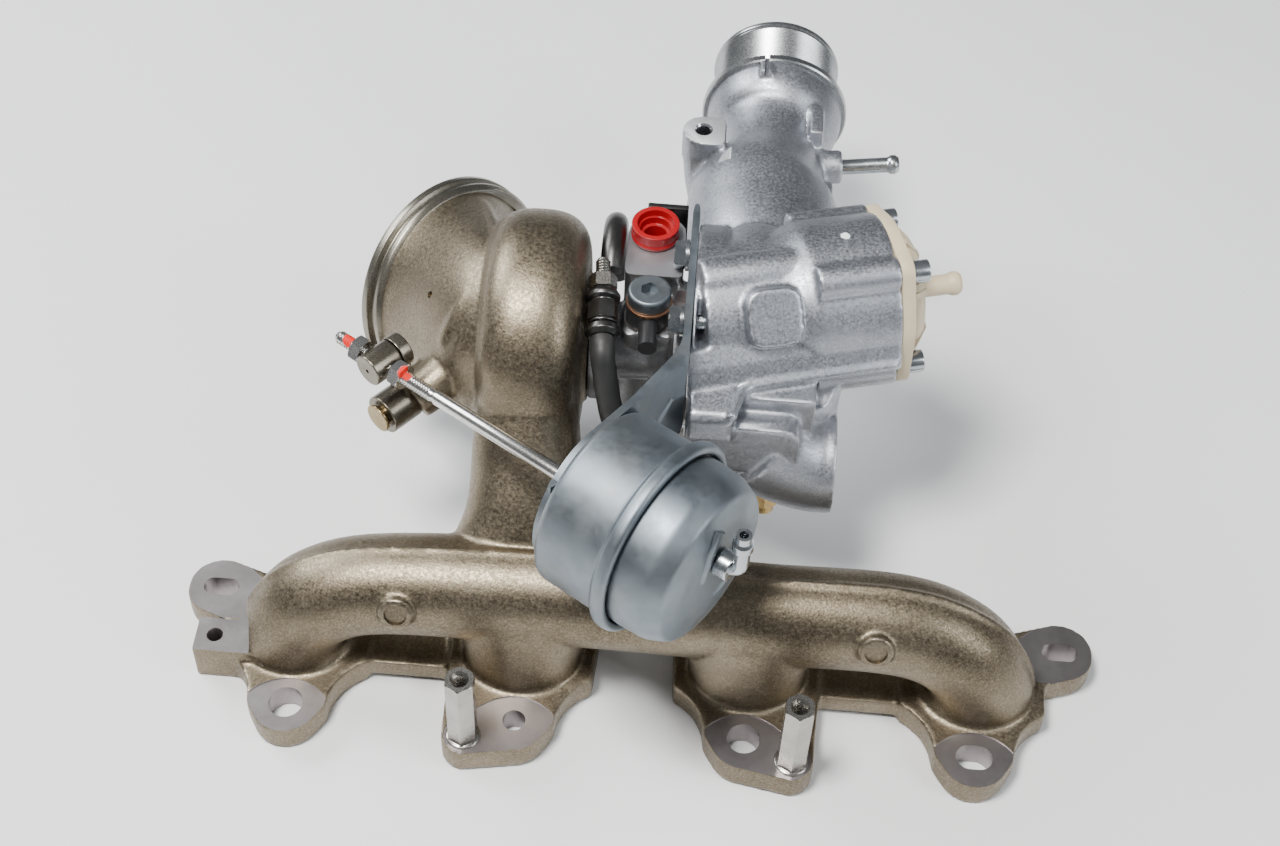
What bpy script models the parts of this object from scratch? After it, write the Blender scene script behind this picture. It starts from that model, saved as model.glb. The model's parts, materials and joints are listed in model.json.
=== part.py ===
"""Turbocharger for a four-cylinder petrol engine, with its cast exhaust manifold.

Lengths are in millimetres in the head-flange frame: X along the manifold, Y away from the
lower bolt row, Z up from the flange's sealing face. place() centres them on the object, and
finish() scales them to metres.
"""

import math

import bmesh
import bpy
from mathutils import Vector

MM = 0.001
GAP = 0.3  # clearance left between neighbouring pieces

# Head flange and manifold
PORT_X = (-139.5, -46.5, 46.5, 139.5)
PORT_Y = 33.0
FLANGE_T = 13.0
EAR_R = 14.0
LUG_X, LUG_Y = 177.0, 54.0
LOG_R, WALL = 20.5, 4.0
SPACER_X, SPACER_Y, SPACER_TOP = 66.0, -8.6, 53.0

# Rotor
AXIS_Y, AXIS_Z = 132.0, 100.0
TURBINE_R, COMPRESSOR_R = 23.6, 24.0
SHAFT_R, STUB_R = 4.0, 2.5
BEARING_R = 7.2
PAD_TOP, DRAIN_X = 127.6, -8.5

# Turbine housing
VOLUTE_X, VOLUTE_MAJOR, VOLUTE_TUBE = -51.0, 31.0, 20.5
OUTLET_C = Vector((-95.0, 180.0, 77.0))
OUTLET_N = Vector((-0.745, 0.62, -0.245)).normalized()
OUTLET_R = 45.0

# Compressor housing
FACE_X = 13.3
SCROLL_X, SCROLL_MAJOR, SCROLL_TUBE = 38.0, 32.0, 20.0
PIPE_X, PIPE_END_Y = 43.0, 311.0

# Recirculation valve
VALVE_P = Vector((FACE_X, 126.5, 123.0))
VALVE_V = Vector((0.962, 0.272, 0.0)).normalized()
VALVE_LEN, VALVE_R, VALVE_BORE = 77.3, 33.0, 15.0
VALVE_SEAT = 34.0
COVER_SCREW_RING, COVER_SCREW_FIRST = 30.0, 30.0

# Wastegate and actuator
ROD_P = Vector((-108.0, 92.0, 120.0))
ROD_A = Vector((0.8387, -0.5446, 0.0)).normalized()
SPINDLE_H = Vector((-109.5, 88.3, 91.0))
SPINDLE_IN = Vector((0.64, 0.768, 0.0)).normalized()
ARM_U = Vector((SPINDLE_IN.y, -SPINDLE_IN.x, 0.0))
LEVER_UP = ROD_P.z - SPINDLE_H.z
LEVER_S = (10.3, 15.3)  # span of the lever plate along the spindle
FLAP_S, FLAP_Z = 42.0, 14.0
CAN_R, BEAD_R, CAN_WALL = 36.0, 40.0, 1.6
CAN_REAR, SEAM = 105.0, 136.0
CUP_R, CUP_LENGTH = 34.6, 20.0

# The actuator cup reaches furthest to the front and the inlet pipe to the back.
FRONT_Y = ROD_P.y + ROD_A.y * (SEAM + CUP_LENGTH) - CUP_R * ROD_A.x
Y_SHIFT = 0.5 * (PIPE_END_Y + FRONT_Y)

X, Y, Z = Vector((1, 0, 0)), Vector((0, 1, 0)), Vector((0, 0, 1))
AXIS = Vector((0.0, AXIS_Y, AXIS_Z))


def place(p):
    """A point of the head-flange frame, still in millimetres, seen from the object's middle."""
    return (p[0], p[1] - Y_SHIFT, p[2])


def clear_scene():
    for obj in list(bpy.data.objects):
        bpy.data.objects.remove(obj)


def solid(points, faces):
    """A closed mesh object from points in millimetres, with its faces turned outwards."""
    mesh = bpy.data.meshes.new("shape")
    mesh.from_pydata([place(p) for p in points], [], faces)
    work = bmesh.new()
    work.from_mesh(mesh)
    bmesh.ops.remove_doubles(work, verts=work.verts, dist=1e-4)
    bmesh.ops.recalc_face_normals(work, faces=work.faces)
    bmesh.ops.triangulate(work, faces=work.faces)
    if work.calc_volume(signed=True) < 0:
        bmesh.ops.reverse_faces(work, faces=work.faces)
    work.to_mesh(mesh)
    work.free()
    obj = bpy.data.objects.new("shape", mesh)
    bpy.context.scene.collection.objects.link(obj)
    return obj


def skin(sections, closed=False):
    """Joins equal loops of points into one skin, capped unless the loops run in a ring."""
    n, m = len(sections[0]), len(sections)
    points = [p for section in sections for p in section]
    faces = []
    for i in range(m if closed else m - 1):
        a, b = i * n, ((i + 1) % m) * n
        for j in range(n):
            k = (j + 1) % n
            faces.append((a + j, a + k, b + k, b + j))
    if not closed:
        faces += [tuple(range(n)), tuple((m - 1) * n + j for j in range(n))]
    return solid(points, faces)


def across(axis):
    """Two unit vectors square to an axis."""
    helper = Z if abs(axis.dot(Z)) < 0.9 else X
    side = axis.cross(helper).normalized()
    return side, side.cross(axis).normalized()


def loop(centre, side, up, a, b, seg, turn=0.0):
    angles = [turn + 2 * math.pi * i / seg for i in range(seg)]
    return [centre + side * (a * math.cos(t)) + up * (b * math.sin(t)) for t in angles]


def lathe(profile, base, axis, seg=18, turn=0.0):
    """Solid of (station, radius) pairs along an axis; every radius is above zero."""
    side, up = across(axis)
    return skin([loop(base + axis * s, side, up, r, r, seg, turn) for s, r in profile])


def ring(profile, base, axis, seg=20):
    """Closed (station, radius) outline swept right round an axis."""
    side, up = across(axis)
    turns = [2 * math.pi * i / seg for i in range(seg)]
    radial = [side * math.cos(t) + up * math.sin(t) for t in turns]
    return skin([[base + axis * s + d * r for s, r in profile] for d in radial], closed=True)


def torus(x, major, tube, seg=40, around=18):
    outline = [
        (x + tube * math.cos(t), major + tube * math.sin(t))
        for t in (2 * math.pi * i / around for i in range(around))
    ]
    return ring(outline, AXIS, X, seg)


def curve(points, per):
    """Catmull-Rom samples through rows of numbers."""
    rows = [tuple(p) for p in points]
    out = []
    for i in range(len(rows) - 1):
        p0, p1 = rows[max(i - 1, 0)], rows[i]
        p2, p3 = rows[i + 1], rows[min(i + 2, len(rows) - 1)]
        for k in range(per):
            t = k / per
            out.append(tuple(
                0.5 * (2 * b + (c - a) * t + (2 * a - 5 * b + 4 * c - d) * t * t
                       + (3 * b - a - 3 * c + d) * t ** 3)
                for a, b, c, d in zip(p0, p1, p2, p3)
            ))
    return out + [rows[-1]]


def sweep(stations, up=Z, seg=24, per=4, thinner=0.0):
    """Tube through (x, y, z, half width, half height) stations, with `up` as its height."""
    rows = curve(stations, per)
    centres = [Vector(r[:3]) for r in rows]
    sections = []
    for i, row in enumerate(rows):
        ahead, behind = centres[min(i + 1, len(rows) - 1)], centres[max(i - 1, 0)]
        along = (ahead - behind).normalized()
        side = along.cross(up).normalized()
        over = side.cross(along).normalized()
        sections.append(
            loop(centres[i], side, over, row[3] - thinner, row[4] - thinner, seg)
        )
    return skin(sections)


def pipe(points, radius, up=Z, seg=12, per=2):
    return sweep([(*p, radius, radius) for p in points], up, seg, per)


def rod(start, end, radius, seg=14):
    start, end = Vector(start), Vector(end)
    length = (end - start).length
    return lathe([(0, radius), (length, radius)], start, (end - start).normalized(), seg)


def hexagon(start, axis, length, radius, turn=0.0):
    return lathe([(0, radius), (length, radius)], Vector(start), axis, 6, turn)


def prism(outline, base, side, up, depth):
    """Outline of (side, up) pairs pushed `depth` along side x up."""
    base, along = Vector(base), side.cross(up).normalized() * depth
    near = [base + side * a + up * b for a, b in outline]
    return skin([near, [p + along for p in near]])


def block(low, high):
    (x0, y0, z0), (x1, y1, z1) = low, high
    outline = [(x0, y0), (x1, y0), (x1, y1), (x0, y1)]
    return prism(outline, (0, 0, z0), X, Y, z1 - z0)


def hull(circles, seg=16):
    """Convex outline round circles of (x, y, r)."""
    points = sorted(
        (round(x + r * math.cos(t), 4), round(y + r * math.sin(t), 4))
        for x, y, r in circles
        for t in (2 * math.pi * i / seg for i in range(seg))
    )

    def half(pts):
        out = []
        for p in pts:
            while len(out) > 1 and (
                (out[-1][0] - out[-2][0]) * (p[1] - out[-2][1])
                - (out[-1][1] - out[-2][1]) * (p[0] - out[-2][0])
            ) <= 1e-3:
                out.pop()
            out.append(p)
        return out[:-1]

    return half(points) + half(points[::-1])


def plate(circles, z0, z1):
    return prism(hull(circles), (0, 0, z0), X, Y, z1 - z0)


def apply(base, others, operation):
    """Runs one exact Boolean after another and leaves their result as the base's mesh."""
    for other in others:
        modifier = base.modifiers.new("Join", "BOOLEAN")
        modifier.operation, modifier.solver, modifier.object = operation, "EXACT", other
        graph = bpy.context.evaluated_depsgraph_get()
        mesh = bpy.data.meshes.new_from_object(base.evaluated_get(graph))
        base.modifiers.clear()
        base.data = mesh
        bpy.data.objects.remove(other)
    return base


def fuse(shapes):
    return apply(shapes[0], shapes[1:], "UNION")


def cut(base, cutters):
    return apply(base, cutters, "DIFFERENCE")


def finish(name, obj, colour, metallic, roughness, origin=None):
    """Names the piece, gives it its material and moves its origin onto its joint axis."""
    obj.name = obj.data.name = name
    work = bmesh.new()
    work.from_mesh(obj.data)
    bmesh.ops.remove_doubles(work, verts=work.verts, dist=1e-3)
    bmesh.ops.dissolve_degenerate(work, edges=work.edges, dist=1e-3)
    bmesh.ops.triangulate(work, faces=work.faces)
    centre = Vector(place(origin)) if origin is not None else Vector((0, 0, 0))
    for vertex in work.verts:
        vertex.co = (vertex.co - centre) * MM
    work.to_mesh(obj.data)
    work.free()
    material = bpy.data.materials.new(name)
    material.use_nodes = True
    shader = material.node_tree.nodes["Principled BSDF"]
    shader.inputs["Base Color"].default_value = (*colour, 1.0)
    shader.inputs["Metallic"].default_value = metallic
    shader.inputs["Roughness"].default_value = roughness
    obj.data.materials.clear()
    obj.data.materials.append(material)
    obj.location = centre * MM
    return obj


CAST_STEEL = ((0.19, 0.165, 0.135), 1.0, 0.5)
CAST_ALUMINIUM = ((0.55, 0.57, 0.6), 1.0, 0.42)
CAST_IRON = ((0.22, 0.22, 0.22), 1.0, 0.55)
ZINC = ((0.42, 0.47, 0.52), 1.0, 0.38)
STEEL = ((0.5, 0.49, 0.47), 1.0, 0.35)
DARK_STEEL = ((0.13, 0.13, 0.13), 1.0, 0.45)
BLACK = ((0.015, 0.015, 0.016), 0.0, 0.5)
RUBBER = ((0.02, 0.02, 0.02), 0.0, 0.75)
CREAM = ((0.66, 0.56, 0.38), 0.0, 0.5)
RED = ((0.62, 0.02, 0.03), 0.0, 0.4)
BRASS = ((0.6, 0.42, 0.18), 1.0, 0.35)
COPPER = ((0.6, 0.28, 0.15), 1.0, 0.35)


def on_axis(x):
    return Vector((x, AXIS_Y, AXIS_Z))


def on_rod(s):
    return ROD_P + ROD_A * s


def on_spindle(s, u=0.0, z=0.0):
    return SPINDLE_H + SPINDLE_IN * s + ARM_U * u + Z * z


def on_valve(s):
    return VALVE_P + VALVE_V * s


def vane(x_from, x_to, inner, outer, angle, sweep_angle, thick):
    """One blade: radial strips between two radius functions, turned along the axis."""
    sections, steps = [], 2
    for i in range(steps + 1):
        f = i / steps
        x = x_from + (x_to - x_from) * f
        t = angle + sweep_angle * f * f
        out = Y * math.cos(t) + Z * math.sin(t)
        side = X.cross(out) * (thick / 2)
        base = on_axis(x)
        a, b = inner(f), outer(f)
        sections.append([base + out * a - side, base + out * b - side,
                         base + out * b + side, base + out * a + side])
    return skin(sections)


# ---------------------------------------------------------------- exhaust manifold
def runner_stations():
    """End runners and log in one path: port, elbow, log, elbow, port."""
    half = [(139.5, PORT_Y, 27.5, 20.8), (140.5, PORT_Y + 1, 22, 20.5), (129.5, 36, LOG_R, LOG_R),
            (104, 39, LOG_R, LOG_R)]
    heights = (1.5, 20, 37, 45)
    left = [(-x, y, z, a, b) for (x, y, a, b), z in zip(half, heights)]
    right = [(x, y, z, a, b) for (x, y, a, b), z in zip(half, heights)][::-1]
    middle = [(-46, 40, 47, LOG_R + 1, LOG_R + 1), (0, 39.5, 46, LOG_R, LOG_R),
              (50, 39, 45, LOG_R, LOG_R)]
    return left + middle + right


def riser_stations():
    return [(-46, 38, 44, 19, 33), (-46.5, 55, 50, 21, 28), (-48, 71, 64, 22, 24),
            (-50, 87, 82, 21, 22), (VOLUTE_X, 100, 100, 19, 20.5)]


def outlet(thinner=0.0, reach=0.0, seg=24, steps=4):
    """Turbine outlet: round sections turned evenly from the shaft axis to the outlet's axis."""
    start, end = Vector((-57.3, 131.2, 101.7)), OUTLET_C + OUTLET_N * reach
    pull = (end - start).length / 3
    sections = []
    for i in range(steps + 1):
        t = i / steps
        a, b, c, d = start, start - X * pull, end - OUTLET_N * pull, end
        centre = (a * (1 - t) ** 3 + b * (3 * t * (1 - t) ** 2) + c * (3 * t * t * (1 - t))
                  + d * t ** 3)
        normal = (-X).lerp(OUTLET_N, t).normalized()
        side = normal.cross(Z).normalized()
        radius = 40 + (OUTLET_R - 40) * t - thinner
        sections.append(loop(centre, side, side.cross(normal), radius, radius, seg))
    return skin(sections)


def port_plates():
    shapes = []
    for x in PORT_X:
        circles = [(x, 0, EAR_R), (x - 20, 25, 10), (x + 20, 25, 10),
                   (x - 21, 46, 10), (x + 21, 46, 10)]
        if abs(x) < 100:
            circles.append((math.copysign(SPACER_X, x), SPACER_Y, 9))
        shapes.append(plate(circles, 0, FLANGE_T))
    for s in (-1, 1):
        lug = [(s * LUG_X, LUG_Y, EAR_R), (s * 148, 44, EAR_R)]
        shapes.append(plate(lug, 0.02, FLANGE_T - 0.02))
        shapes.append(block((min(s * 70, s * 116), 23, 2), (max(s * 70, s * 116), 47, 11)))
    shapes.append(block((-181, 17.5, 0.01), (-158, 34, 20)))
    return shapes


def slot(x, y, length, width):
    h = (length - width) / 2
    return plate([(x - h, y, width / 2), (x + h, y, width / 2)], -2, 24)


def exhaust_manifold():
    body = fuse([
        sweep(runner_stations(), up=Y, per=2, seg=16),
        *[sweep([(x, PORT_Y, 1.5, 27.5, 20.8), (x, PORT_Y + 1, 20, 22, 20),
                 (x, 39, 43, 20, 19)], up=Y, per=1, seg=16)
          for x in PORT_X[1:3]],
        *port_plates(),
        sweep(riser_stations(), up=X, per=2, seg=18),
        torus(VOLUTE_X, VOLUTE_MAJOR, VOLUTE_TUBE, 22, 12),
        lathe([(-71.5, 29), (-34, 29), (-28, 26)], AXIS, X, 28),
        outlet(),
        lathe([(-9, 44), (-6.5, 48), (0.05, 48)], OUTLET_C, OUTLET_N, 30),
        rod(on_spindle(17.8), on_spindle(38), 9.5),
        *[rod((x, 36, 48), (x, 28.5, 63.5), 7.5, 16) for x in (-97, 97)],
    ])
    voids = [
        sweep(runner_stations_deep(), up=Y, per=1, seg=12, thinner=WALL),
        *[sweep([(x, PORT_Y, -3, 27, 20.5), (x, PORT_Y + 1, 20, 22, 20),
                 (x, 39.5, 45, 20, 20)], up=Y, per=1, seg=12, thinner=WALL)
          for x in PORT_X[1:3]],
        sweep(riser_stations(), up=X, per=1, seg=12, thinner=5.0),
        torus(VOLUTE_X, VOLUTE_MAJOR + 3, 12.5, 18, 8),
        lathe([(-75, TURBINE_R + 1), (-27, TURBINE_R + 1)], AXIS, X, 28),
        outlet(thinner=4.6, reach=2.0, seg=16),
    ]
    cut(body, voids)
    seat = on_spindle(FLAP_S, 6.0, FLAP_Z)
    fuse([body, rod(seat, seat + ARM_U * 14, 10.5, 16)])
    holes = [
        block((-220, -60, -30), (220, 330, 0)),
        rod(seat - ARM_U, seat + ARM_U * 23, 6.5, 12),
        rod(on_spindle(10), on_spindle(40), 6.2, 20),
        slot(PORT_X[3], 0, 14.9, 11),
        slot(-LUG_X, LUG_Y, 15, 8.5),
        slot(LUG_X, LUG_Y, 15, 8.5),
        rod((-173, 25.5, -1), (-173, 25.5, 22), 2.7, 16),
    ]
    for x, r in zip(PORT_X[:3], (7.0, 4.7, 6.75)):
        holes.append(rod((x, 0, -1), (x, 0, 15), r, 20))
    finish("exhaust_manifold", cut(body, holes), *CAST_STEEL)


def runner_stations_deep():
    """The runner path carried through the sealing face, for the gas passage."""
    rows = runner_stations()
    first, last = rows[0], rows[-1]
    rows[0] = (first[0], first[1], -2.0, 26, 21)
    rows[-1] = (last[0], last[1], -2.0, 26, 21)
    return rows


def spacers():
    for name, x in (("spacer_nut_left", -SPACER_X), ("spacer_nut_right", SPACER_X)):
        base = Vector((x, SPACER_Y, FLANGE_T + GAP))
        height = SPACER_TOP - FLANGE_T - GAP
        body = fuse([hexagon(base, Z, height, 6.35), lathe([(0, 7.6), (2.2, 7.6)], base, Z, 24)])
        cut(body, [rod((x, SPACER_Y, SPACER_TOP - 14), (x, SPACER_Y, SPACER_TOP + 1), 3.4, 16)])
        finish(name, body, *STEEL)


# ---------------------------------------------------------------- rotor and bearings
def rotor():
    hub = [(-62, 3.5), (-60.5, 5.5), (-50, 7), (-42, 10.5), (-37, 17), (-35, 22), (-33.2, 22),
           (-33.1, 6), (-28, 6), (-27.9, 5.4), (-23, 5.4), (-22.9, SHAFT_R), (18.3, SHAFT_R),
           (18.4, STUB_R), (46, STUB_R)]
    blades = [
        vane(-34.6, -60, lambda f: 5.0, lambda f: TURBINE_R - 2.2 * f * f,
             2 * math.pi * i / 8, -0.55, 1.3)
        for i in range(8)
    ]
    body = fuse([lathe(hub, AXIS, X, 24), *blades])
    finish("turbine_wheel_shaft", body, *DARK_STEEL, origin=on_axis(-48))


def compressor_wheel():
    hub = [(18.7, 9), (18.8, 23.5), (20.2, 23.5), (22, 17), (26, 11), (32, 7.2), (38, 5.8)]
    blades = []
    for i in range(10):
        end = 37 if i % 2 == 0 else 30
        def outer(f, end=end):
            x = 19.4 + (end - 19.4) * f
            return 17.2 + (COMPRESSOR_R - 17.2) * max(0.0, (31 - x) / 11.6) ** 2
        blades.append(vane(19.4, end, lambda f: 4.5, outer, 2 * math.pi * i / 10, 0.6, 1.0))
    body = fuse([lathe(hub, AXIS, X, 24), *blades])
    cut(body, [rod(on_axis(18), on_axis(39), STUB_R + GAP, 16)])
    finish("compressor_wheel", body, *CAST_ALUMINIUM, origin=on_axis(28))


def sleeve(x0, x1, inner, outer, seg=16):
    return ring([(x0, inner), (x1, inner), (x1, outer), (x0, outer)], AXIS, X, seg)


def rotor_small_parts():
    nut = hexagon(on_axis(38.3), X, 4.6, 4.6)
    cut(nut, [rod(on_axis(38), on_axis(44), STUB_R + GAP, 16)])
    finish("compressor_nut", nut, *STEEL, origin=on_axis(40))
    finish("thrust_collar", sleeve(8.6, 18.4, SHAFT_R + GAP, 6.0), *STEEL, origin=on_axis(13))
    finish("thrust_bearing", sleeve(9.4, 12.2, 6.4, 12.8), *BRASS)
    for name, x in (("journal_bearing_turbine", -20.0), ("journal_bearing_compressor", 0.0)):
        finish(name, sleeve(x, x + 8, SHAFT_R + GAP, BEARING_R), *BRASS)
    finish("piston_ring", sleeve(-26.2, -24.7, 5.7, 6.9), *DARK_STEEL)
    shield = ring([(-32.6, 9.5), (-32.6, 21), (-28.3, 24.2), (-28.3, 22.4), (-31.2, 19),
                   (-31.2, 9.5)], AXIS, X, 20)
    finish("heat_shield", shield, *STEEL)


# ---------------------------------------------------------------- centre housing
def centre_housing():
    body = fuse([
        lathe([(-27.7, 25), (-23, 25), (-21, 16), (-4, 15), (4, 17), (6.0, 26), (12.7, 26)],
              AXIS, X, 24),
        prism([(-16, 143), (7.8, 143), (7.8, 172), (2, 178), (-10, 178), (-16, 171)],
              (0, 0, 96), X, Y, PAD_TOP - 96),
        rod((-4.8, 129, 104), (-4.8, 129, 118), 9.5, 20),
        rod((DRAIN_X, AXIS_Y, 96), (DRAIN_X, AXIS_Y, 62), 11.5, 24),
        rod((DRAIN_X, AXIS_Y, 66), (DRAIN_X, AXIS_Y, 61), 14.5, 24),
    ])
    cut(body, [
        sleeve_core(-30, -22.5, 7.2), sleeve_core(-23, 9, BEARING_R + GAP),
        sleeve_core(9, 14, 13.2),
        rod((-5, 166, 112), (-5, 166, 130), 6.1, 20),
        rod((-5, 166, 113), (-5, 137, 101), 2.4, 10),
        rod((-4.8, 129, 104), (-4.8, 129, 120), 2.6, 12),
        rod((DRAIN_X, AXIS_Y, 98), (DRAIN_X, AXIS_Y, 58), 7.5, 20),
    ])
    finish("centre_housing", body, *CAST_IRON)


def sleeve_core(x0, x1, r):
    return rod(on_axis(x0), on_axis(x1), r, 28)


# ---------------------------------------------------------------- compressor side
SCREWS = ((150.0, 134.0), (113.0, 134.5), (167.0, 79.0), (132.0, 58.5), (95.0, 81.0))


def back_plate():
    plate_ring = sleeve(13.0, 17.4, 6.6, 33.6, 40)
    finish("back_plate", plate_ring, *CAST_ALUMINIUM)


def inlet_outer():
    return [(PIPE_X, 286, 100, 28.5, 28.5), (PIPE_X + 0.5, 262, 100, 27.5, 27.5),
            (PIPE_X + 2, 250, 101, 24.5, 25), (PIPE_X, 232, 102, 28, 27),
            (39, 208, 103, 31, 30), (41, 180, 104, 31, 31), (46, 150, 102, 30, 30)]


def inlet_bore():
    return [(PIPE_X, 314, 100, 25.2, 25.2), (PIPE_X, 280, 100, 24, 24),
            (PIPE_X + 2, 248, 101, 20.5, 20.5), (46, 210, 102, 19.5, 19.5),
            (52, 174, 101, 18, 18), (55, 150, 100, 17, 17), (55, 116, 100, 17, 17)]


def screw_sites():
    side, up = Vector((-VALVE_V.y, VALVE_V.x, 0)), Z
    for k in range(4):
        t = math.radians(COVER_SCREW_FIRST + 90 * k)
        yield side * (COVER_SCREW_RING * math.cos(t)) + up * (COVER_SCREW_RING * math.sin(t))


def pipe_end():
    """Hose spigot with its rim and the collar behind it."""
    outline = [(-33, 33), (-29, 33), (-27, 28.2), (-3, 28.2), (-2.8, 29.0), (-0.8, 29.0), (0, 28.4)]
    return lathe(outline, Vector((PIPE_X, PIPE_END_Y, 100)), Y, 32)


def compressor_housing():
    right = on_valve(VALVE_LEN)
    body = fuse([
        lathe([(FACE_X, 50), (24, 50), (30, 44), (62, 38), (70, 31), (75, 22)], AXIS, X, 26),
        torus(SCROLL_X, SCROLL_MAJOR, SCROLL_TUBE, 22, 10),
        sweep(inlet_outer(), up=Z, per=1, seg=20),
        pipe_end(),
        sweep([(44, 96, 84, 24, 24), (56, 95, 75, 23, 23), (66, 95, 72, 22.5, 22.5),
               (75, 95, 72, 22.5, 22.5)], up=Z, per=1, seg=20),
        lathe([(0.1, 30), (40, 31), (44, VALVE_R), (VALVE_LEN, VALVE_R)],
              VALVE_P, VALVE_V, 24),
        sweep([(44, 140, 100, 25, 25), (56, 144, 100, 21, 22), (60, 150, 100, 21, 21)], up=Z,
              per=2, seg=20),
        *[rod(right + d - VALVE_V * 32, right + d - VALVE_V * 0.4, 6.4, 12)
          for d in screw_sites()],
        block((2.5, 226, 92), (22, 245, 126)),
        block((14.5, 76, 106), (32, 104, 121)),
        prism([(14.5, 92), (60, 98), (92.5, 110), (91, 122), (60, 118), (14.5, 108)],
              (0, 0, 104), X, Y, 8),
        rod((56, 238, 105), (73, 239.5, 106.5), 7, 16),
        rod((49, 101, 70), (49, 101, 56), 8.5, 16),
    ])
    cut(body, [
        block((-40, 60, 40), (FACE_X, 178, 170)),
        sleeve_core(12, 17.8, 34.0), sleeve_core(17, 21.3, 33.0),
        lathe([(20, 24.6), (24, 22.5), (28, 19.5), (32, 18.0), (39, 17.9)], AXIS, X, 28),
        torus(32, 36, 12.8, 18, 8),
        sweep(inlet_bore(), up=Z, per=1, seg=16),
        sleeve_core(38, 70, 17.6),
        sweep([(36, 97, 87, 12, 12), (56, 95, 75, 16, 16), (66, 95, 72, 18, 18),
               (78, 95, 72, 18.5, 18.5)], up=Z, per=1, seg=16),
        rod(on_valve(VALVE_SEAT), right + VALVE_V, VALVE_BORE, 32),
        rod(on_valve(VALVE_SEAT + 2) + Z, on_valve(16) + Z * 7, 6.0, 16),
        *[rod(right + d - VALVE_V * 14, right + d + VALVE_V, 2.6, 10) for d in screw_sites()],
        *[rod((12, y, z), (18.8, y, z), 3.3, 12) for y, z in SCREWS],
        rod((11.5, 236, 100), (11.5, 236, 128), 3.3, 16),
        rod((62, 238.6, 105.5), (75, 239.7, 106.7), 3.2, 12),
        rod((49, 101, 50), (49, 101, 68), 4.4, 12),
    ])
    finish("compressor_housing", body, *CAST_ALUMINIUM)


def housing_screws():
    for k, (y, z) in enumerate(SCREWS[2:]):
        body = fuse([hexagon((7.6, y, z), X, 5.2, 5.6),
                     lathe([(12.2, 6.2), (12.9, 6.2)], Vector((0, y, z)), X, 16),
                     rod((12, y, z), (18.3, y, z), 3.0, 12)])
        finish(f"housing_screw_{k + 1}", body, *STEEL)


def valve_parts():
    right = on_valve(VALVE_LEN + GAP)
    side = Vector((-VALVE_V.y, VALVE_V.x, 0))
    ears = [(d.dot(side), d.z, 7.0) for d in screw_sites()] + [(0, 0, 32.2)]
    flat = prism(hull(ears, 20), right, side, Z, 5.5)
    dome = lathe([(0.4, 28.3), (5, 28.0), (11, 26), (14, 20), (15, 12)], right, VALVE_V, 26)
    spigot = lathe([(12, 4.2), (29, 4.2), (31, 5.0), (33, 5.0), (34.5, 4.0)], right, VALVE_V, 16)
    # `prism` pushes along side x up, which is the valve axis.
    cover = fuse([flat, dome, spigot])
    cut(cover, [
        lathe([(-1, 14.4), (8, 14.4), (10, 12)], right, VALVE_V, 18),
        rod(right + VALVE_V * 6, right + VALVE_V * 36, 2.2, 12),
        *[rod(right + d - VALVE_V, right + d + VALVE_V * 40, 3.0, 12) for d in screw_sites()],
        *[rod(right + d + VALVE_V * 5.2, right + d + VALVE_V * 40, 5.7, 14)
          for d in screw_sites()],
    ])
    finish("diverter_cover", cover, *CREAM)
    for k, d in enumerate(screw_sites()):
        base = right + d
        screw = fuse([rod(base + VALVE_V * (5.5 + GAP), base + VALVE_V * 12.5, 4.6, 18),
                      rod(base - VALVE_V * 11, base + VALVE_V * 6.5, 2.3, 10)])
        cut(screw, [hexagon(base + VALVE_V * 8.5, VALVE_V, 6, 2.7)])
        finish(f"cover_screw_{k + 1}", screw, *ZINC)
    nose = VALVE_SEAT + GAP
    slide_r = VALVE_BORE - 0.4
    piston = lathe([(nose, slide_r), (nose + 18, slide_r)], VALVE_P, VALVE_V, 32)
    cut(piston, [lathe([(nose + 3, 12.6), (nose + 20, 12.6)], VALVE_P, VALVE_V, 28)])
    finish("diverter_piston", piston, *DARK_STEEL, origin=on_valve(nose))
    coil("diverter_spring", on_valve(nose + 3.3), VALVE_V, 11.0, 0.9, 47.0, 7)


def coil(name, base, axis, radius, wire, length, turns):
    """Compression spring of round wire, with plain ends."""
    side, up = across(axis)
    steps = turns * 7
    sections = []
    for i in range(steps + 1):
        t = 2 * math.pi * turns * i / steps
        out = side * math.cos(t) + up * math.sin(t)
        centre = base + axis * (wire + (length - 2 * wire) * i / steps) + out * radius
        sections.append([centre + out * (wire * math.cos(q)) + axis * (wire * math.sin(q))
                         for q in (0.5 * math.pi * j for j in range(4))])
    finish(name, skin(sections), *STEEL)


def boost_nipple():
    start, end = Vector((65, 238.9, 105.8)), Vector((99, 241.9, 108.8))
    axis = (end - start).normalized()
    body = lathe([(0, 2.9), (8.4, 2.9), (8.5, 3.4), (29, 3.4), (30.5, 4.3), (32.5, 4.3), (34, 3.3)],
                 start, axis, 16)
    cut(body, [rod(start - axis, end + axis, 1.9, 12)])
    finish("boost_nipple", body, *STEEL)


def brass_fitting():
    body = fuse([hexagon((49, 101, 51.7), -Z, 9, 7.2), rod((49, 101, 48), (49, 101, 66), 4.0, 14),
                 rod((49, 101, 46), (49, 101, 36), 4.5, 15)])
    cut(body, [rod((49, 101, 33), (49, 101, 70), 2.1, 10)])
    finish("brass_fitting", body, *BRASS)


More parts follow.
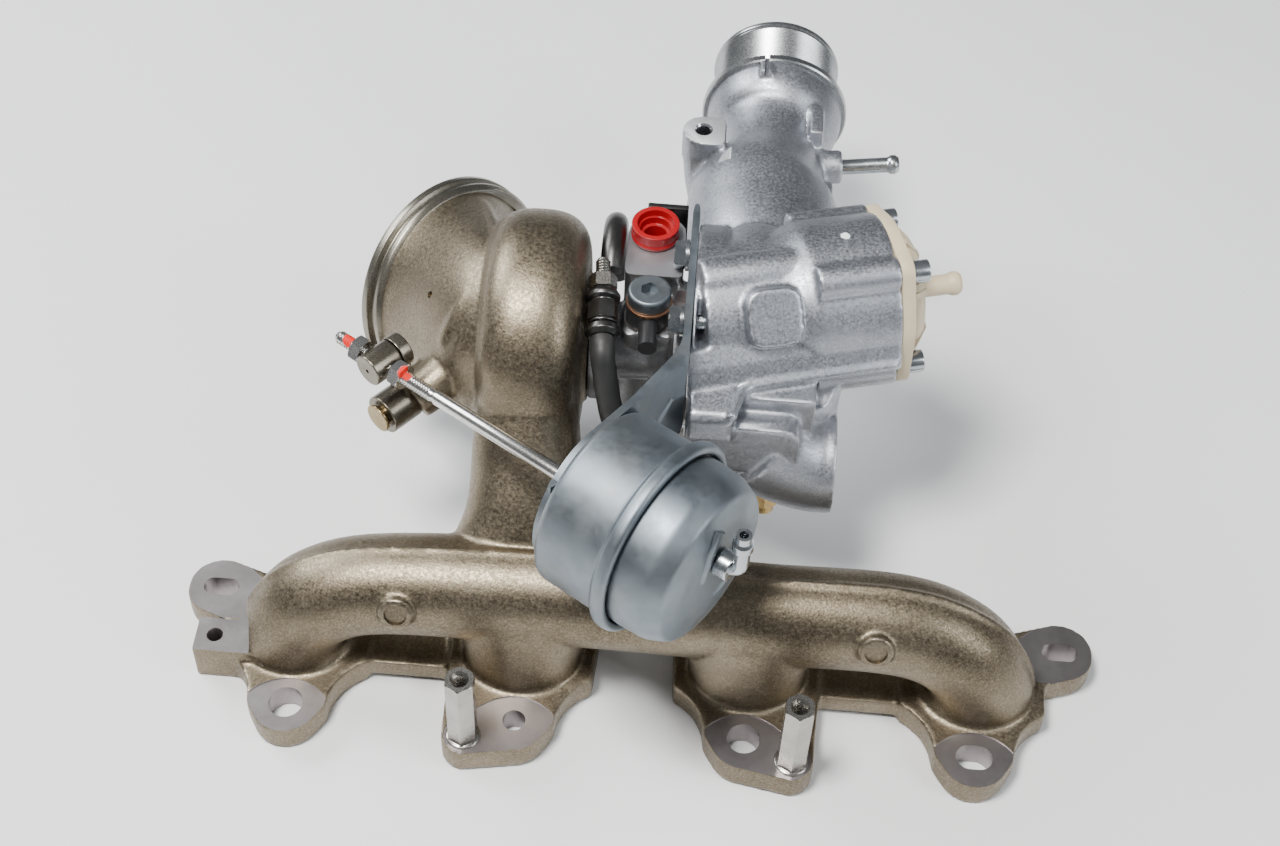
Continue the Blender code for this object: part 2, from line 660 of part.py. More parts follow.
# ---------------------------------------------------------------- oil and coolant
def lines():
    plug = lathe([(-14, 5.6), (0.4, 5.6), (0.5, 9.7), (7.4, 9.9)], Vector((-5, 166, PAD_TOP)), Z, 28)
    cut(plug, [lathe([(1.6, 6.3), (8.5, 7.0)], Vector((-5, 166, PAD_TOP)), Z, 24)])
    finish("oil_inlet_plug", plug, *RED)

    at = Vector((-4.8, 129, 118.3))
    banjo = fuse([lathe([(0, 9.2), (8.0, 9.2)], at, Z, 24),
                  rod((-4.8, 124, 122.3), (-4, 108, 122.3), 3.8, 16)])
    cut(banjo, [rod(at - Z, at + Z * 10, 4.8, 20)])
    finish("banjo_fitting", banjo, *BLACK)
    washer = ring([(8.3, 5.0), (9.8, 5.0), (9.8, 9.4), (8.3, 9.4)], at, Z, 28)
    finish("copper_washer", washer, *COPPER)
    bolt = fuse([lathe([(10.1, 8.8), (15.0, 8.8), (16.0, 8.0)], at, Z, 28),
                 rod(at + Z * 0.5, at + Z * 11, 4.4, 18)])
    cut(bolt, [hexagon(at + Z * 11, Z, 8, 3.8)])
    finish("banjo_bolt", bolt, *ZINC)

    clip = block((-9, 178.5, 108), (8, 181.5, 132))
    finish("clip_plate", clip, *DARK_STEEL)

    arch = pipe([(-21.5, 146, 126), (-21.5, 156, 130), (-21.5, 168, 129), (-21.5, 178, 121),
                 (-21.5, 182, 106), (-21, 181, 88)], 4.8, up=X)
    finish("coolant_pipe", arch, *DARK_STEEL)

    top = Vector((-24.5, 141, 137))
    down = (Vector((-21.5, 104, 127)) - top).normalized()
    finish("union_stud", lathe([(0, 2.6), (1, 3.0), (16.5, 3.0)], top, down, 14), *STEEL)
    nut = hexagon(top + down * 8, down, 6, 5.8)
    cut(nut, [rod(top, top + down * 20, 3.3, 14)])
    finish("union_nut", nut, *STEEL)
    collar = lathe([(17, 5.0), (18, 6.0), (20, 6.0), (21, 5.2), (30, 5.2), (30.2, 4.4), (31, 4.4),
                    (31.2, 6.0), (34, 6.0), (35, 5.2)], top, down, 16)
    finish("union_body", collar, *DARK_STEEL)
    end = top + down * 36
    hose = pipe([tuple(end), tuple(end + down * 4), (-20.5, 98, 122), (-16, 88, 104), (-10, 88, 84),
                 (-7, 96, 70), (-5, 108, 63)], 4.9, up=X)
    finish("coolant_hose", hose, *RUBBER)


# ---------------------------------------------------------------- wastegate linkage
def wastegate():
    lever = fuse([
        rod(on_spindle(0), on_spindle(LEVER_S[1]), 9.0, 18),
        rod(eye(LEVER_S[0]), eye(LEVER_S[1]), 7.0, 20),
        prism([(-5.2, 2), (5.2, 2), (pin_u() + 4.4, LEVER_UP), (pin_u() - 4.4, LEVER_UP)],
              on_spindle(LEVER_S[1] - 0.01), ARM_U, Z, 4.98),
    ])
    cut(lever, [
        rod(on_spindle(-1), on_spindle(LEVER_S[1] + 1), 4.3, 20),
        rod(eye(LEVER_S[0] - 1), eye(LEVER_S[1] + 1), 4.5, 20),
    ])
    finish("wastegate_lever", lever, *STEEL, origin=on_spindle(7))

    arm = [(-3.5, -5), (1.3, -5), (1.3, FLAP_Z + 4), (-3.5, FLAP_Z + 4)]
    spindle = fuse([rod(on_spindle(-1.5), on_spindle(45), 4.0, 20),
                    prism(arm, on_spindle(45.5), ARM_U, Z, 7)])
    finish("wastegate_spindle", spindle, *STEEL, origin=on_spindle(20))
    flap = rod(on_spindle(FLAP_S, 1.6, FLAP_Z), on_spindle(FLAP_S, 5.6, FLAP_Z), 8.3, 20)
    finish("wastegate_flap", flap, *STEEL, origin=on_spindle(FLAP_S))
    bush = ring([(18, 4.3), (37, 4.3), (37, 5.9), (18, 5.9)], SPINDLE_H, SPINDLE_IN, 24)
    finish("spindle_bushing", bush, *DARK_STEEL)


def eye(s):
    """A point on the axis of the lever's eye."""
    return on_spindle(s, pin_u(), LEVER_UP)


def pin_u():
    """How far the rod end sits beside the spindle, square to the lever."""
    return (ROD_P - SPINDLE_H).dot(ARM_U)


def actuator():
    rear = ring([(CAN_REAR, 4.4), (CAN_REAR, 33), (CAN_REAR + 3, CAN_R), (SEAM - 3.5, CAN_R),
                 (SEAM - 2.4, BEAD_R), (SEAM, BEAD_R), (SEAM, 33.5), (SEAM - 2, CAN_R - CAN_WALL),
                 (CAN_REAR + 3.5, CAN_R - CAN_WALL), (CAN_REAR + CAN_WALL, 32),
                 (CAN_REAR + CAN_WALL, 4.4)], ROD_P, ROD_A, 26)
    finish("actuator_rear_shell", rear, *ZINC)
    front = lathe([(SEAM + 1.8, BEAD_R), (SEAM + 4.6, BEAD_R), (SEAM + 6, 35), (SEAM + CUP_LENGTH, CUP_R),
                   (SEAM + 24.5, 31), (SEAM + 27, 22), (SEAM + 28, 10)], ROD_P, ROD_A, 26)
    cut(front, [lathe([(SEAM, 33.4), (SEAM + 19, 33.0), (SEAM + 23.4, 29.6), (SEAM + 25.6, 20),
                       (SEAM + 26.4, 9)], ROD_P, ROD_A, 20),
                rod(on_rod(SEAM + 20) + nipple_offset(), on_rod(SEAM + 31) + nipple_offset(),
                    3.4, 14)])
    finish("actuator_front_shell", front, *ZINC)
    base = on_rod(SEAM + 24.5) + nipple_offset()
    elbow = fuse([rod(base, base + ROD_A * 9, 3.1, 14),
                  lathe([(3.9, 5.4), (9.5, 5.4)], base, ROD_A, 16),
                  pipe([tuple(base + ROD_A * 7), tuple(base + ROD_A * 10.5 + Z * 1.5),
                        tuple(base + ROD_A * 12.5 + Z * 6), tuple(base + ROD_A * 12.5 + Z * 15)],
                       2.8, up=nipple_side(), seg=14)])
    finish("actuator_nipple", elbow, *ZINC)
    membrane = ring([(SEAM + GAP, 12), (SEAM + GAP, 26), (SEAM - 2.0, 29), (SEAM + GAP, 32),
                     (SEAM + GAP, 39.4), (SEAM + 1.5, 39.4), (SEAM + 1.5, 32),
                     (SEAM - 0.8, 29), (SEAM + 1.5, 26), (SEAM + 1.5, 12)], ROD_P, ROD_A, 20)
    finish("diaphragm", membrane, *RUBBER)
    cup = lathe([(SEAM - 16, 22), (SEAM - 0.1, 22.6)], ROD_P, ROD_A, 32)
    cut(cup, [lathe([(SEAM - 17, 20.4), (SEAM - 1.9, 20.8)], ROD_P, ROD_A, 28),
              rod(on_rod(SEAM - 5), on_rod(SEAM + 2), 3.3, 16)])
    finish("diaphragm_cup", cup, *STEEL, origin=on_rod(SEAM - 8))
    coil("actuator_spring", on_rod(CAN_REAR + CAN_WALL + 0.4), ROD_A, 17.0, 1.5, 25.0, 4)

    shaft = [(-22.5, 2.2)]
    s = -21.5
    while s < 27:
        shaft += [(s, 2.3), (s + 1.5, 2.65)]
        s += 3.0
    shaft += [(28.5, 2.3), (29.5, 3.0), (SEAM + 8, 3.0), (SEAM + 9, 2.4)]
    finish("actuator_rod", lathe(shaft, ROD_P, ROD_A, 10), *STEEL, origin=on_rod(60))
    for name, s in (("rod_nut_inner", 7.9), ("rod_nut_outer", -12.7)):
        nut = hexagon(on_rod(s), ROD_A, 5, 5.8)
        cut(nut, [rod(on_rod(s - 1), on_rod(s + 6), 2.95, 14)])
        finish(name, nut, *STEEL, origin=on_rod(s + 2))
    barrel = fuse([rod(eye(-3.0), eye(LEVER_S[0] - 0.5), 6.7, 18),
                   rod(eye(6), eye(LEVER_S[1] + 1.6), 3.1, 18)])
    cut(barrel, [rod(on_rod(-9), on_rod(9), 2.95, 14)])
    finish("rod_pivot", barrel, *STEEL, origin=ROD_P)


def nipple_offset():
    return Z * 8.0


def nipple_side():
    return ROD_A.cross(Z).normalized()


def bracket():
    """Bent sheet from the compressor housing's face to the back of the actuator."""
    back = Vector((ROD_A.x, ROD_A.y, 0)).normalized()
    along = Vector((-back.y, back.x, 0))
    thick = 3.0
    rear = on_rod(CAN_REAR - GAP - 0.2)
    x_face = FACE_X - GAP
    reach = (x_face - rear.x) / along.x
    knee = rear + along * reach
    tail = rear - along * 28
    inner_knee_y = knee.y - back.y * thick * 1.55 + 2.0
    outline = [
        (tail.x, tail.y), (knee.x, knee.y), (x_face, 170), (x_face - thick, 170),
        (x_face - thick, inner_knee_y), (tail.x - back.x * thick, tail.y - back.y * thick),
    ]
    body = fuse([
        prism(outline, (0, 0, 126.6), X, Y, 17.4),
        rod(rear - back * thick, rear, 30, 32),
    ])
    cut(body, [
        rod(on_rod(CAN_REAR - 8), on_rod(CAN_REAR + 4), 4.4, 20),
        *[rod((8, y, z), (14, y, z), 3.4, 16) for y, z in SCREWS[:2]],
    ])
    finish("actuator_bracket", body, *ZINC)
    for k, (y, z) in enumerate(SCREWS[:2]):
        start = x_face - thick
        screw = fuse([hexagon((start - 6.2, y, z), X, 5, 5.9),
                      lathe([(start - 1.6, 6.4), (start - GAP, 6.4)], Vector((0, y, z)), X, 18),
                      rod((start - 3, y, z), (18.3, y, z), 3.0, 12)])
        finish(f"bracket_screw_{k + 1}", screw, *ZINC)


clear_scene()
exhaust_manifold()
spacers()
rotor()
compressor_wheel()
rotor_small_parts()
centre_housing()
back_plate()
compressor_housing()
housing_screws()
valve_parts()
boost_nipple()
brass_fitting()
lines()
wastegate()
actuator()
bracket()
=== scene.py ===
import json
import math

import bmesh
import bpy
from mathutils import Matrix, Vector


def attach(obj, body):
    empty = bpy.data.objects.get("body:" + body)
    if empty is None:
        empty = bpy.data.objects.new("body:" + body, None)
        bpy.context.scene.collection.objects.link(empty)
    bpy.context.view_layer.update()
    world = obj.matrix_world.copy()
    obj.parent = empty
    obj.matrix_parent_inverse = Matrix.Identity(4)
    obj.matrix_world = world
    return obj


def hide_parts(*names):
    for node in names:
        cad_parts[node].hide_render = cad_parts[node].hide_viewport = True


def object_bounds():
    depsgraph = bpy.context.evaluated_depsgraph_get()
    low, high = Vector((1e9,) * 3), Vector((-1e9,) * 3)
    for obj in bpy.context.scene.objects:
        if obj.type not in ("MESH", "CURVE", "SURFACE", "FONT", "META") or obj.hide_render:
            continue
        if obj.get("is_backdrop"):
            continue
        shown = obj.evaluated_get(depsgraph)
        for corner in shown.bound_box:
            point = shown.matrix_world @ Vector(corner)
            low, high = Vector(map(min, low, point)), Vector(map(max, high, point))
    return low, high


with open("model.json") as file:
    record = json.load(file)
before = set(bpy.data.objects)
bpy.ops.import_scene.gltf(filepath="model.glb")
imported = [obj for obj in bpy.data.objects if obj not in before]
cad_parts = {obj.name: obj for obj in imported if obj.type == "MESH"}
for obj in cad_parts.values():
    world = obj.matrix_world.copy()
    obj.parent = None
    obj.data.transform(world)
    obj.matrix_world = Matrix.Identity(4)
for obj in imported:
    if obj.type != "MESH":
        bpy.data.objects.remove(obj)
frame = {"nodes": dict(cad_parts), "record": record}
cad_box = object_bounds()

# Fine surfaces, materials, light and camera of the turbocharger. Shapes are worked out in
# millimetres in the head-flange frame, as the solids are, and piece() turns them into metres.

MM = 0.001
SHARP_ANGLE = math.radians(32)  # faces that meet at more than this show an edge
X, Y, Z = Vector((1, 0, 0)), Vector((0, 1, 0)), Vector((0, 0, 1))
JOINTS = {joint["name"]: joint for joint in frame["record"]["behaviour"]["joints"]}

# Head flange and manifold
PORT_X = (-139.5, -46.5, 46.5, 139.5)
INNER_PORTS = PORT_X[1:3]
PORT_Y, FLANGE_T, EAR_R = 33.0, 13.0, 14.0
SPOT_Z = FLANGE_T - 0.6
LUG_X, LUG_Y = 177.0, 54.0
LOG_R, WALL = 20.5, 4.0
SPACER_X, SPACER_Y, SPACER_TOP = 66.0, -8.6, 53.0
BOSS_X, BOSS_OUT = (-95, 95), Vector((0.0, -0.918, 0.396))  # blind bosses and their way out

# Rotor axis, and with it the way from the flange frame to the frame of the object
AXIS_Y, AXIS_Z = 132.0, 100.0
AXIS = Vector((0.0, AXIS_Y, AXIS_Z))
Y_SHIFT = AXIS_Y - JOINTS["rotor_spin"]["pos_m"][1] / MM
TURBINE_R, STUB_R, SHAFT_R = 23.6, 2.5, 4.0
PAD_TOP, DRAIN_X = 127.6, -8.5
OIL_IN, BANJO = (-5, 166), (-4.8, 129)  # X and Y of the oil inlet and of the oil feed block

# Turbine and compressor housings
VOLUTE_X, VOLUTE_MAJOR, VOLUTE_TUBE = -51.0, 31.0, 20.5
OUTLET_C = Vector((-95.0, 180.0, 77.0))
OUTLET_N = Vector((-0.745, 0.62, -0.245)).normalized()
OUTLET_R = 45.0
FACE_X = 13.3
SCROLL_X, SCROLL_MAJOR, SCROLL_TUBE = 38.0, 32.0, 20.0
PIPE_X, PIPE_END_Y = 43.0, 311.0
FITTING = (49, 101)  # X and Y of the brass fitting under the scroll
SCREWS = ((150.0, 134.0), (113.0, 134.5), (167.0, 79.0), (132.0, 58.5), (95.0, 81.0))

# Recirculation valve
VALVE_P = Vector((FACE_X, 126.5, 123.0))
VALVE_V = Vector((0.962, 0.272, 0.0)).normalized()
VALVE_SIDE = Vector((-VALVE_V.y, VALVE_V.x, 0))
VALVE_LEN, VALVE_R, VALVE_BORE, VALVE_SEAT = 77.3, 33.0, 15.0, 34.0
COVER_AT = VALVE_P + VALVE_V * (VALVE_LEN + 0.3)
COVER_SCREW_RING, COVER_SCREW_FIRST = 30.0, 30.0

# Wastegate and actuator
ROD_P = Vector((-108.0, 92.0, 120.0))
ROD_A = Vector((0.8387, -0.5446, 0.0)).normalized()
ROD_SIDE = ROD_A.cross(Z).normalized()
SPINDLE_H = Vector((-109.5, 88.3, 91.0))
SPINDLE_IN = Vector((0.64, 0.768, 0.0)).normalized()
ARM_U = Vector((SPINDLE_IN.y, -SPINDLE_IN.x, 0.0))
LEVER_UP = ROD_P.z - SPINDLE_H.z
PIN_U = (ROD_P - SPINDLE_H).dot(ARM_U)
LEVER_S = (10.3, 15.3)
FLAP_S, FLAP_Z = 42.0, 14.0
CAN_R, BEAD_R, CAN_REAR, SEAM, CUP_R, CUP_LENGTH = 36.0, 39.6, 105.0, 136.0, 34.6, 20.0
NIPPLE_UP = 8.0
BRACKET_X, BRACKET_T = FACE_X - 0.3, 3.0  # face that it is screwed to, and its thickness


# ---- shapes
def shape(points, faces):
    """A closed mesh object with its faces turned outwards."""
    mesh = bpy.data.meshes.new("shape")
    mesh.from_pydata([(p[0], p[1] - Y_SHIFT, p[2]) for p in points], [], faces)
    work = bmesh.new()
    work.from_mesh(mesh)
    bmesh.ops.remove_doubles(work, verts=work.verts, dist=1e-4)
    bmesh.ops.recalc_face_normals(work, faces=work.faces)
    if work.calc_volume(signed=True) < 0:
        bmesh.ops.reverse_faces(work, faces=work.faces)
    work.to_mesh(mesh)
    work.free()
    obj = bpy.data.objects.new("shape", mesh)
    bpy.context.scene.collection.objects.link(obj)
    return obj


def skin(sections, closed=False):
    """Joins equal loops of points into one skin, capped unless the loops run in a ring."""
    n, m = len(sections[0]), len(sections)
    points = [p for section in sections for p in section]
    faces = []
    for i in range(m if closed else m - 1):
        a, b = i * n, ((i + 1) % m) * n
        faces += [(a + j, a + (j + 1) % n, b + (j + 1) % n, b + j) for j in range(n)]
    if not closed:
        faces += [tuple(range(n)), tuple((m - 1) * n + j for j in range(n))]
    return shape(points, faces)


def across(axis):
    """Two unit vectors square to an axis."""
    helper = Z if abs(axis.dot(Z)) < 0.9 else X
    side = axis.cross(helper).normalized()
    return side, side.cross(axis).normalized()


def loop(centre, side, up, a, b, seg, power=1.0, turn=0.0):
    """Oval loop of points. A power under 1 squares it."""
    out = []
    for i in range(seg):
        t = turn + 2 * math.pi * i / seg
        c, s = math.cos(t), math.sin(t)
        c, s = math.copysign(abs(c) ** power, c), math.copysign(abs(s) ** power, s)
        out.append(centre + side * (a * c) + up * (b * s))
    return out


def lathe(profile, base, axis, seg=64, turn=0.0):
    """Solid of (station, radius) pairs along an axis."""
    side, up = across(axis)
    return skin([loop(base + axis * s, side, up, r, r, seg, turn=turn) for s, r in profile])


def ring(profile, base, axis, seg=72):
    """Closed (station, radius) outline swept right round an axis."""
    side, up = across(axis)
    turns = [2 * math.pi * i / seg for i in range(seg)]
    radial = [side * math.cos(t) + up * math.sin(t) for t in turns]
    return skin([[base + axis * s + d * r for s, r in profile] for d in radial], closed=True)


def rounded(outline, radius, steps=4, closed=False):
    """Outline with each corner turned into a short curve."""
    out, n = [], len(outline)
    for i in range(n):
        corner = Vector(outline[i])
        if not closed and i in (0, n - 1):
            out.append(tuple(corner))
            continue
        before, after = Vector(outline[i - 1]) - corner, Vector(outline[(i + 1) % n]) - corner
        start = corner + before.normalized() * min(radius, 0.45 * before.length)
        end = corner + after.normalized() * min(radius, 0.45 * after.length)
        for k in range(steps + 1):
            t = k / steps
            out.append(tuple(start * (1 - t) ** 2 + corner * (2 * t * (1 - t)) + end * t * t))
    return out


def turned(profile, radius, base, axis, seg=64):
    """lathe() with the corners of its profile rounded."""
    return lathe(rounded(profile, radius), base, axis, seg)


def torus(x, major, tube, power=1.0):
    """Ring of tube round the rotor axis. A power under 1 squares its section."""
    section = loop(AXIS, X, Y, tube, tube, 56, power)
    return ring([(x + (p - AXIS).x, major + (p - AXIS).y) for p in section], AXIS, X, 120)


def curve(points, per):
    """Catmull-Rom samples through rows of numbers."""
    rows = [tuple(p) for p in points]
    out = []
    for i in range(len(rows) - 1):
        p0, p1 = rows[max(i - 1, 0)], rows[i]
        p2, p3 = rows[i + 1], rows[min(i + 2, len(rows) - 1)]
        for k in range(per):
            t = k / per
            out.append(tuple(
                0.5 * (2 * b + (c - a) * t + (2 * a - 5 * b + 4 * c - d) * t * t
                       + (3 * b - a - 3 * c + d) * t ** 3)
                for a, b, c, d in zip(p0, p1, p2, p3)
            ))
    return out + [rows[-1]]


def path_frames(stations, up, per):
    """(centre, side, over, row) along a smooth path through the stations."""
    rows = curve(stations, per)
    centres = [Vector(r[:3]) for r in rows]
    for i, row in enumerate(rows):
        ahead, behind = centres[min(i + 1, len(rows) - 1)], centres[max(i - 1, 0)]
        along = (ahead - behind).normalized()
        side = along.cross(up).normalized()
        yield centres[i], side, side.cross(along).normalized(), row


def sweep(stations, up=Z, seg=48, per=8, thinner=0.0, power=1.0):
    """Tube through (x, y, z, half width, half height) stations, with `up` as its height."""
    return skin([
        loop(centre, side, over, row[3] - thinner, row[4] - thinner, seg, power)
        for centre, side, over, row in path_frames(stations, up, per)
    ])


def pipe(points, radius, up=Z, seg=28, per=8):
    return sweep([(*p, radius, radius) for p in points], up, seg, per)


def rod(start, end, radius, seg=48):
    start, end = Vector(start), Vector(end)
    length = (end - start).length
    return lathe([(0, radius), (length, radius)], start, (end - start).normalized(), seg)


def hexagon(start, axis, length, radius, turn=0.0):
    return lathe([(0, radius), (length, radius)], Vector(start), axis, 6, turn)


def prism(outline, base, side, up, depth):
    """Outline of (side, up) pairs pushed `depth` along side x up."""
    base, along = Vector(base), side.cross(up).normalized() * depth
    near = [base + side * a + up * b for a, b in outline]
    return skin([near, [p + along for p in near]])


def block(low, high):
    (x0, y0, z0), (x1, y1, z1) = low, high
    return prism([(x0, y0), (x1, y0), (x1, y1), (x0, y1)], (0, 0, z0), X, Y, z1 - z0)


def hull(circles, seg=64):
    """Convex outline round circles of (x, y, r)."""
    points = sorted(
        (round(x + r * math.cos(t), 4), round(y + r * math.sin(t), 4))
        for x, y, r in circles
        for t in (2 * math.pi * i / seg for i in range(seg))
    )

    def half(pts):
        out = []
        for p in pts:
            while len(out) > 1 and (
                (out[-1][0] - out[-2][0]) * (p[1] - out[-2][1])
                - (out[-1][1] - out[-2][1]) * (p[0] - out[-2][0])
            ) <= 1e-3:
                out.pop()
            out.append(p)
        return out[:-1]

    return half(points) + half(points[::-1])


def plate(circles, z0, z1):
    return prism(hull(circles), (0, 0, z0), X, Y, z1 - z0)


def baked(obj):
    """The object with its modifiers' result as its mesh."""
    graph = bpy.context.evaluated_depsgraph_get()
    mesh = bpy.data.meshes.new_from_object(obj.evaluated_get(graph))
    obj.modifiers.clear()
    obj.data = mesh
    return obj


def combine(base, others, operation):
    for other in others:
        modifier = base.modifiers.new("Join", "BOOLEAN")
        modifier.operation, modifier.solver, modifier.object = operation, "MANIFOLD", other
        baked(base)
        bpy.data.objects.remove(other)
    return base


def fuse(shapes):
    return combine(shapes[0], shapes[1:], "UNION")


def cut(base, cutters):
    return combine(base, cutters, "DIFFERENCE")


def meet(base, others):
    return combine(base, others, "INTERSECT")


def gather(shapes):
    """One object of several overlapping shapes, as they are."""
    work = bmesh.new()
    for obj in shapes:
        work.from_mesh(obj.data)
    for obj in shapes[1:]:
        bpy.data.objects.remove(obj)
    work.to_mesh(shapes[0].data)
    work.free()
    return shapes[0]


def cast(shapes, voxel, passes):
    """Overlapping solids melted into one skin with rounded corners, as a casting has."""
    body = gather(shapes)
    remesh = body.modifiers.new("Skin", "REMESH")
    remesh.mode, remesh.voxel_size = "VOXEL", voxel
    smooth = body.modifiers.new("Rounding", "SMOOTH")
    smooth.factor, smooth.iterations = 0.5, passes
    return baked(body)


def machined(obj, index=1):
    """Marks every face, so that what it cuts or adds shows as a machined face."""
    for polygon in obj.data.polygons:
        polygon.material_index = index
    return obj


def mill(body, cutters, index=1):
    """Cuts the shapes away and leaves machined faces."""
    return cut(body, [machined(cutter, index) for cutter in cutters])


def soften(obj, width):
    bevel = obj.modifiers.new("Edges", "BEVEL")
    bevel.width, bevel.segments, bevel.limit_method = width, 2, "ANGLE"
    bevel.angle_limit = math.radians(35)
    return baked(obj)


# ---- places
def on_axis(x):
    return Vector((x, AXIS_Y, AXIS_Z))


def on_rod(s):
    return ROD_P + ROD_A * s


def on_spindle(s, u=0.0, z=0.0):
    return SPINDLE_H + SPINDLE_IN * s + ARM_U * u + Z * z


def eye(s):
    return on_spindle(s, PIN_U, LEVER_UP)


def on_valve(s):
    return VALVE_P + VALVE_V * s


def valve_out(degrees):
    """Direction out of the valve body, from the manifold side up towards +Z."""
    t = math.radians(degrees)
    return -VALVE_SIDE * math.cos(t) + Z * math.sin(t)


# ---- materials
class Surface:
    """A Principled material with short ways to its node inputs."""

    def __init__(self, name, metallic=1.0):
        self.material = bpy.data.materials.new(name)
        self.material.use_nodes = True
        self.nodes, self.links = self.material.node_tree.nodes, self.material.node_tree.links
        self.shader = self.nodes["Principled BSDF"]
        self.shader.inputs["Metallic"].default_value = metallic
        self.where = self.nodes.new("ShaderNodeTexCoord").outputs["Object"]

    def noise(self, scale, detail=3.0, rough=0.55):
        node = self.nodes.new("ShaderNodeTexNoise")
        node.inputs["Scale"].default_value = scale
        node.inputs["Detail"].default_value = detail
        node.inputs["Roughness"].default_value = rough
        self.links.new(self.where, node.inputs["Vector"])
        return node.outputs["Fac"]

    def ramp(self, value, low, high, start=0.0, end=1.0):
        node = self.nodes.new("ShaderNodeMapRange")
        for name, number in (("From Min", low), ("From Max", high), ("To Min", start),
                             ("To Max", end)):
            node.inputs[name].default_value = number
        self.links.new(value, node.inputs["Value"])
        return node.outputs["Result"]

    def mix(self, factor, a, b):
        node = self.nodes.new("ShaderNodeMix")
        node.data_type = "RGBA"
        self.links.new(factor, node.inputs["Factor"])
        for socket, value in ((node.inputs[6], a), (node.inputs[7], b)):
            if isinstance(value, tuple):
                socket.default_value = (*value, 1.0)
            else:
                self.links.new(value, socket)
        return node.outputs[2]

    def blend(self, factor, a, b):
        """Mix of two numbers by a factor."""
        node = self.nodes.new("ShaderNodeMix")
        self.links.new(factor, node.inputs["Factor"])
        for socket, value in ((node.inputs[2], a), (node.inputs[3], b)):
            if isinstance(value, (int, float)):
                socket.default_value = value
            else:
                self.links.new(value, socket)
        return node.outputs[0]

    def near(self, centre, radius):
        """1 within a radius of a point given in flange millimetres, wandering at its edge."""
        centre = (centre[0] * MM, (centre[1] - Y_SHIFT) * MM, centre[2] * MM)
        shift = self.nodes.new("ShaderNodeVectorMath")
        shift.operation = "SUBTRACT"
        shift.inputs[1].default_value = centre
        self.links.new(self.where, shift.inputs[0])
        length = self.nodes.new("ShaderNodeVectorMath")
        length.operation = "LENGTH"
        self.links.new(shift.outputs["Vector"], length.inputs[0])
        wander = self.nodes.new("ShaderNodeMath")
        wander.operation = "MULTIPLY_ADD"
        self.links.new(self.noise(700, 2), wander.inputs[0])
        wander.inputs[1].default_value = radius * MM * 0.5
        self.links.new(length.outputs["Value"], wander.inputs[2])
        edge = radius * MM * 1.25
        return self.ramp(wander.outputs["Value"], edge, edge - 0.4 * MM)

    def edges(self, low, high):
        """0 in hollows and on flats, 1 on worn outer edges."""
        return self.ramp(self.nodes.new("ShaderNodeNewGeometry").outputs["Pointiness"], low, high)

    def finish(self, colour, roughness, heights=()):
        if isinstance(colour, tuple):
            self.shader.inputs["Base Color"].default_value = (*colour, 1.0)
        else:
            self.links.new(colour, self.shader.inputs["Base Color"])
        self.links.new(roughness, self.shader.inputs["Roughness"])
        normal = None
        for height, strength, distance in heights:
            bump = self.nodes.new("ShaderNodeBump")
            bump.inputs["Strength"].default_value = strength
            bump.inputs["Distance"].default_value = distance * MM
            self.links.new(height, bump.inputs["Height"])
            if normal:
                self.links.new(normal, bump.inputs["Normal"])
            normal = bump.outputs["Normal"]
        if normal:
            self.links.new(normal, self.shader.inputs["Normal"])
        return self.material


def cast_metal(name, dark, light, rough, grain, bump, edge, patch=22.0, harsh=0.7, paint=None):
    """Sand-cast metal: wandering tone, worn edges, and a coarse glinting grain."""
    s = Surface(name)
    patches, fine = s.noise(patch, 5, 0.6), s.noise(grain, 2, harsh)
    tone = s.mix(s.ramp(patches, 0.35, 0.65), dark, light)
    tone = s.mix(s.ramp(fine, 0.42, 0.75, 0.0, 0.55), tone, edge)
    tone = s.mix(s.edges(0.515, 0.60), tone, edge)
    gloss = s.ramp(s.noise(grain * 0.6, 2), 0.3, 0.7, rough - 0.1, rough + 0.12)
    if paint:
        spot = s.near(paint, 2.2)
        tone = s.mix(spot, tone, (0.85, 0.86, 0.88))
        gloss = s.blend(spot, gloss, 0.6)
        s.links.new(s.ramp(spot, 0, 1, 1.0, 0.0), s.shader.inputs["Metallic"])
    coarse = s.noise(grain * 0.35, 1)
    return s.finish(tone, gloss, [(coarse, 0.35, bump * 1.4), (fine, 0.5, bump)])


def turned_metal(name, dark, light, rough, bump=0.02):
    """Machined or rolled metal with fine tool marks."""
    s = Surface(name)
    patches, fine = s.noise(60, 4), s.noise(2600, 2, 0.6)
    tone = s.mix(s.ramp(patches, 0.3, 0.7), dark, light)
    gloss = s.ramp(fine, 0.3, 0.7, rough - 0.07, rough + 0.1)
    return s.finish(tone, gloss, [(fine, 0.4, bump)])


def plated(name, dark, light, tint, rough):
    """Zinc plate: blue-grey, with faint clouds of another tint and a little dust."""
    s = Surface(name)
    clouds = s.mix(s.ramp(s.noise(26, 4), 0.38, 0.66), dark, light)
    tone = s.mix(s.ramp(s.noise(48, 3, 0.5), 0.5, 0.7, 0.0, 0.7), clouds, tint)
    fine = s.noise(2200, 3)
    gloss = s.ramp(s.noise(90, 5, 0.7), 0.3, 0.72, rough - 0.07, rough + 0.12)
    return s.finish(tone, gloss, [(fine, 0.25, 0.015), (s.noise(130, 2), 0.1, 0.05)])


def moulded(name, dark, light, rough):
    """Moulded plastic or rubber with a fine texture and slight streaks."""
    s = Surface(name, 0.0)
    tone = s.mix(s.ramp(s.noise(45, 4), 0.3, 0.7), dark, light)
    gloss = s.ramp(s.noise(120, 4), 0.3, 0.7, rough - 0.08, rough + 0.1)
    return s.finish(tone, gloss, [(s.noise(1400, 2), 0.3, 0.03)])


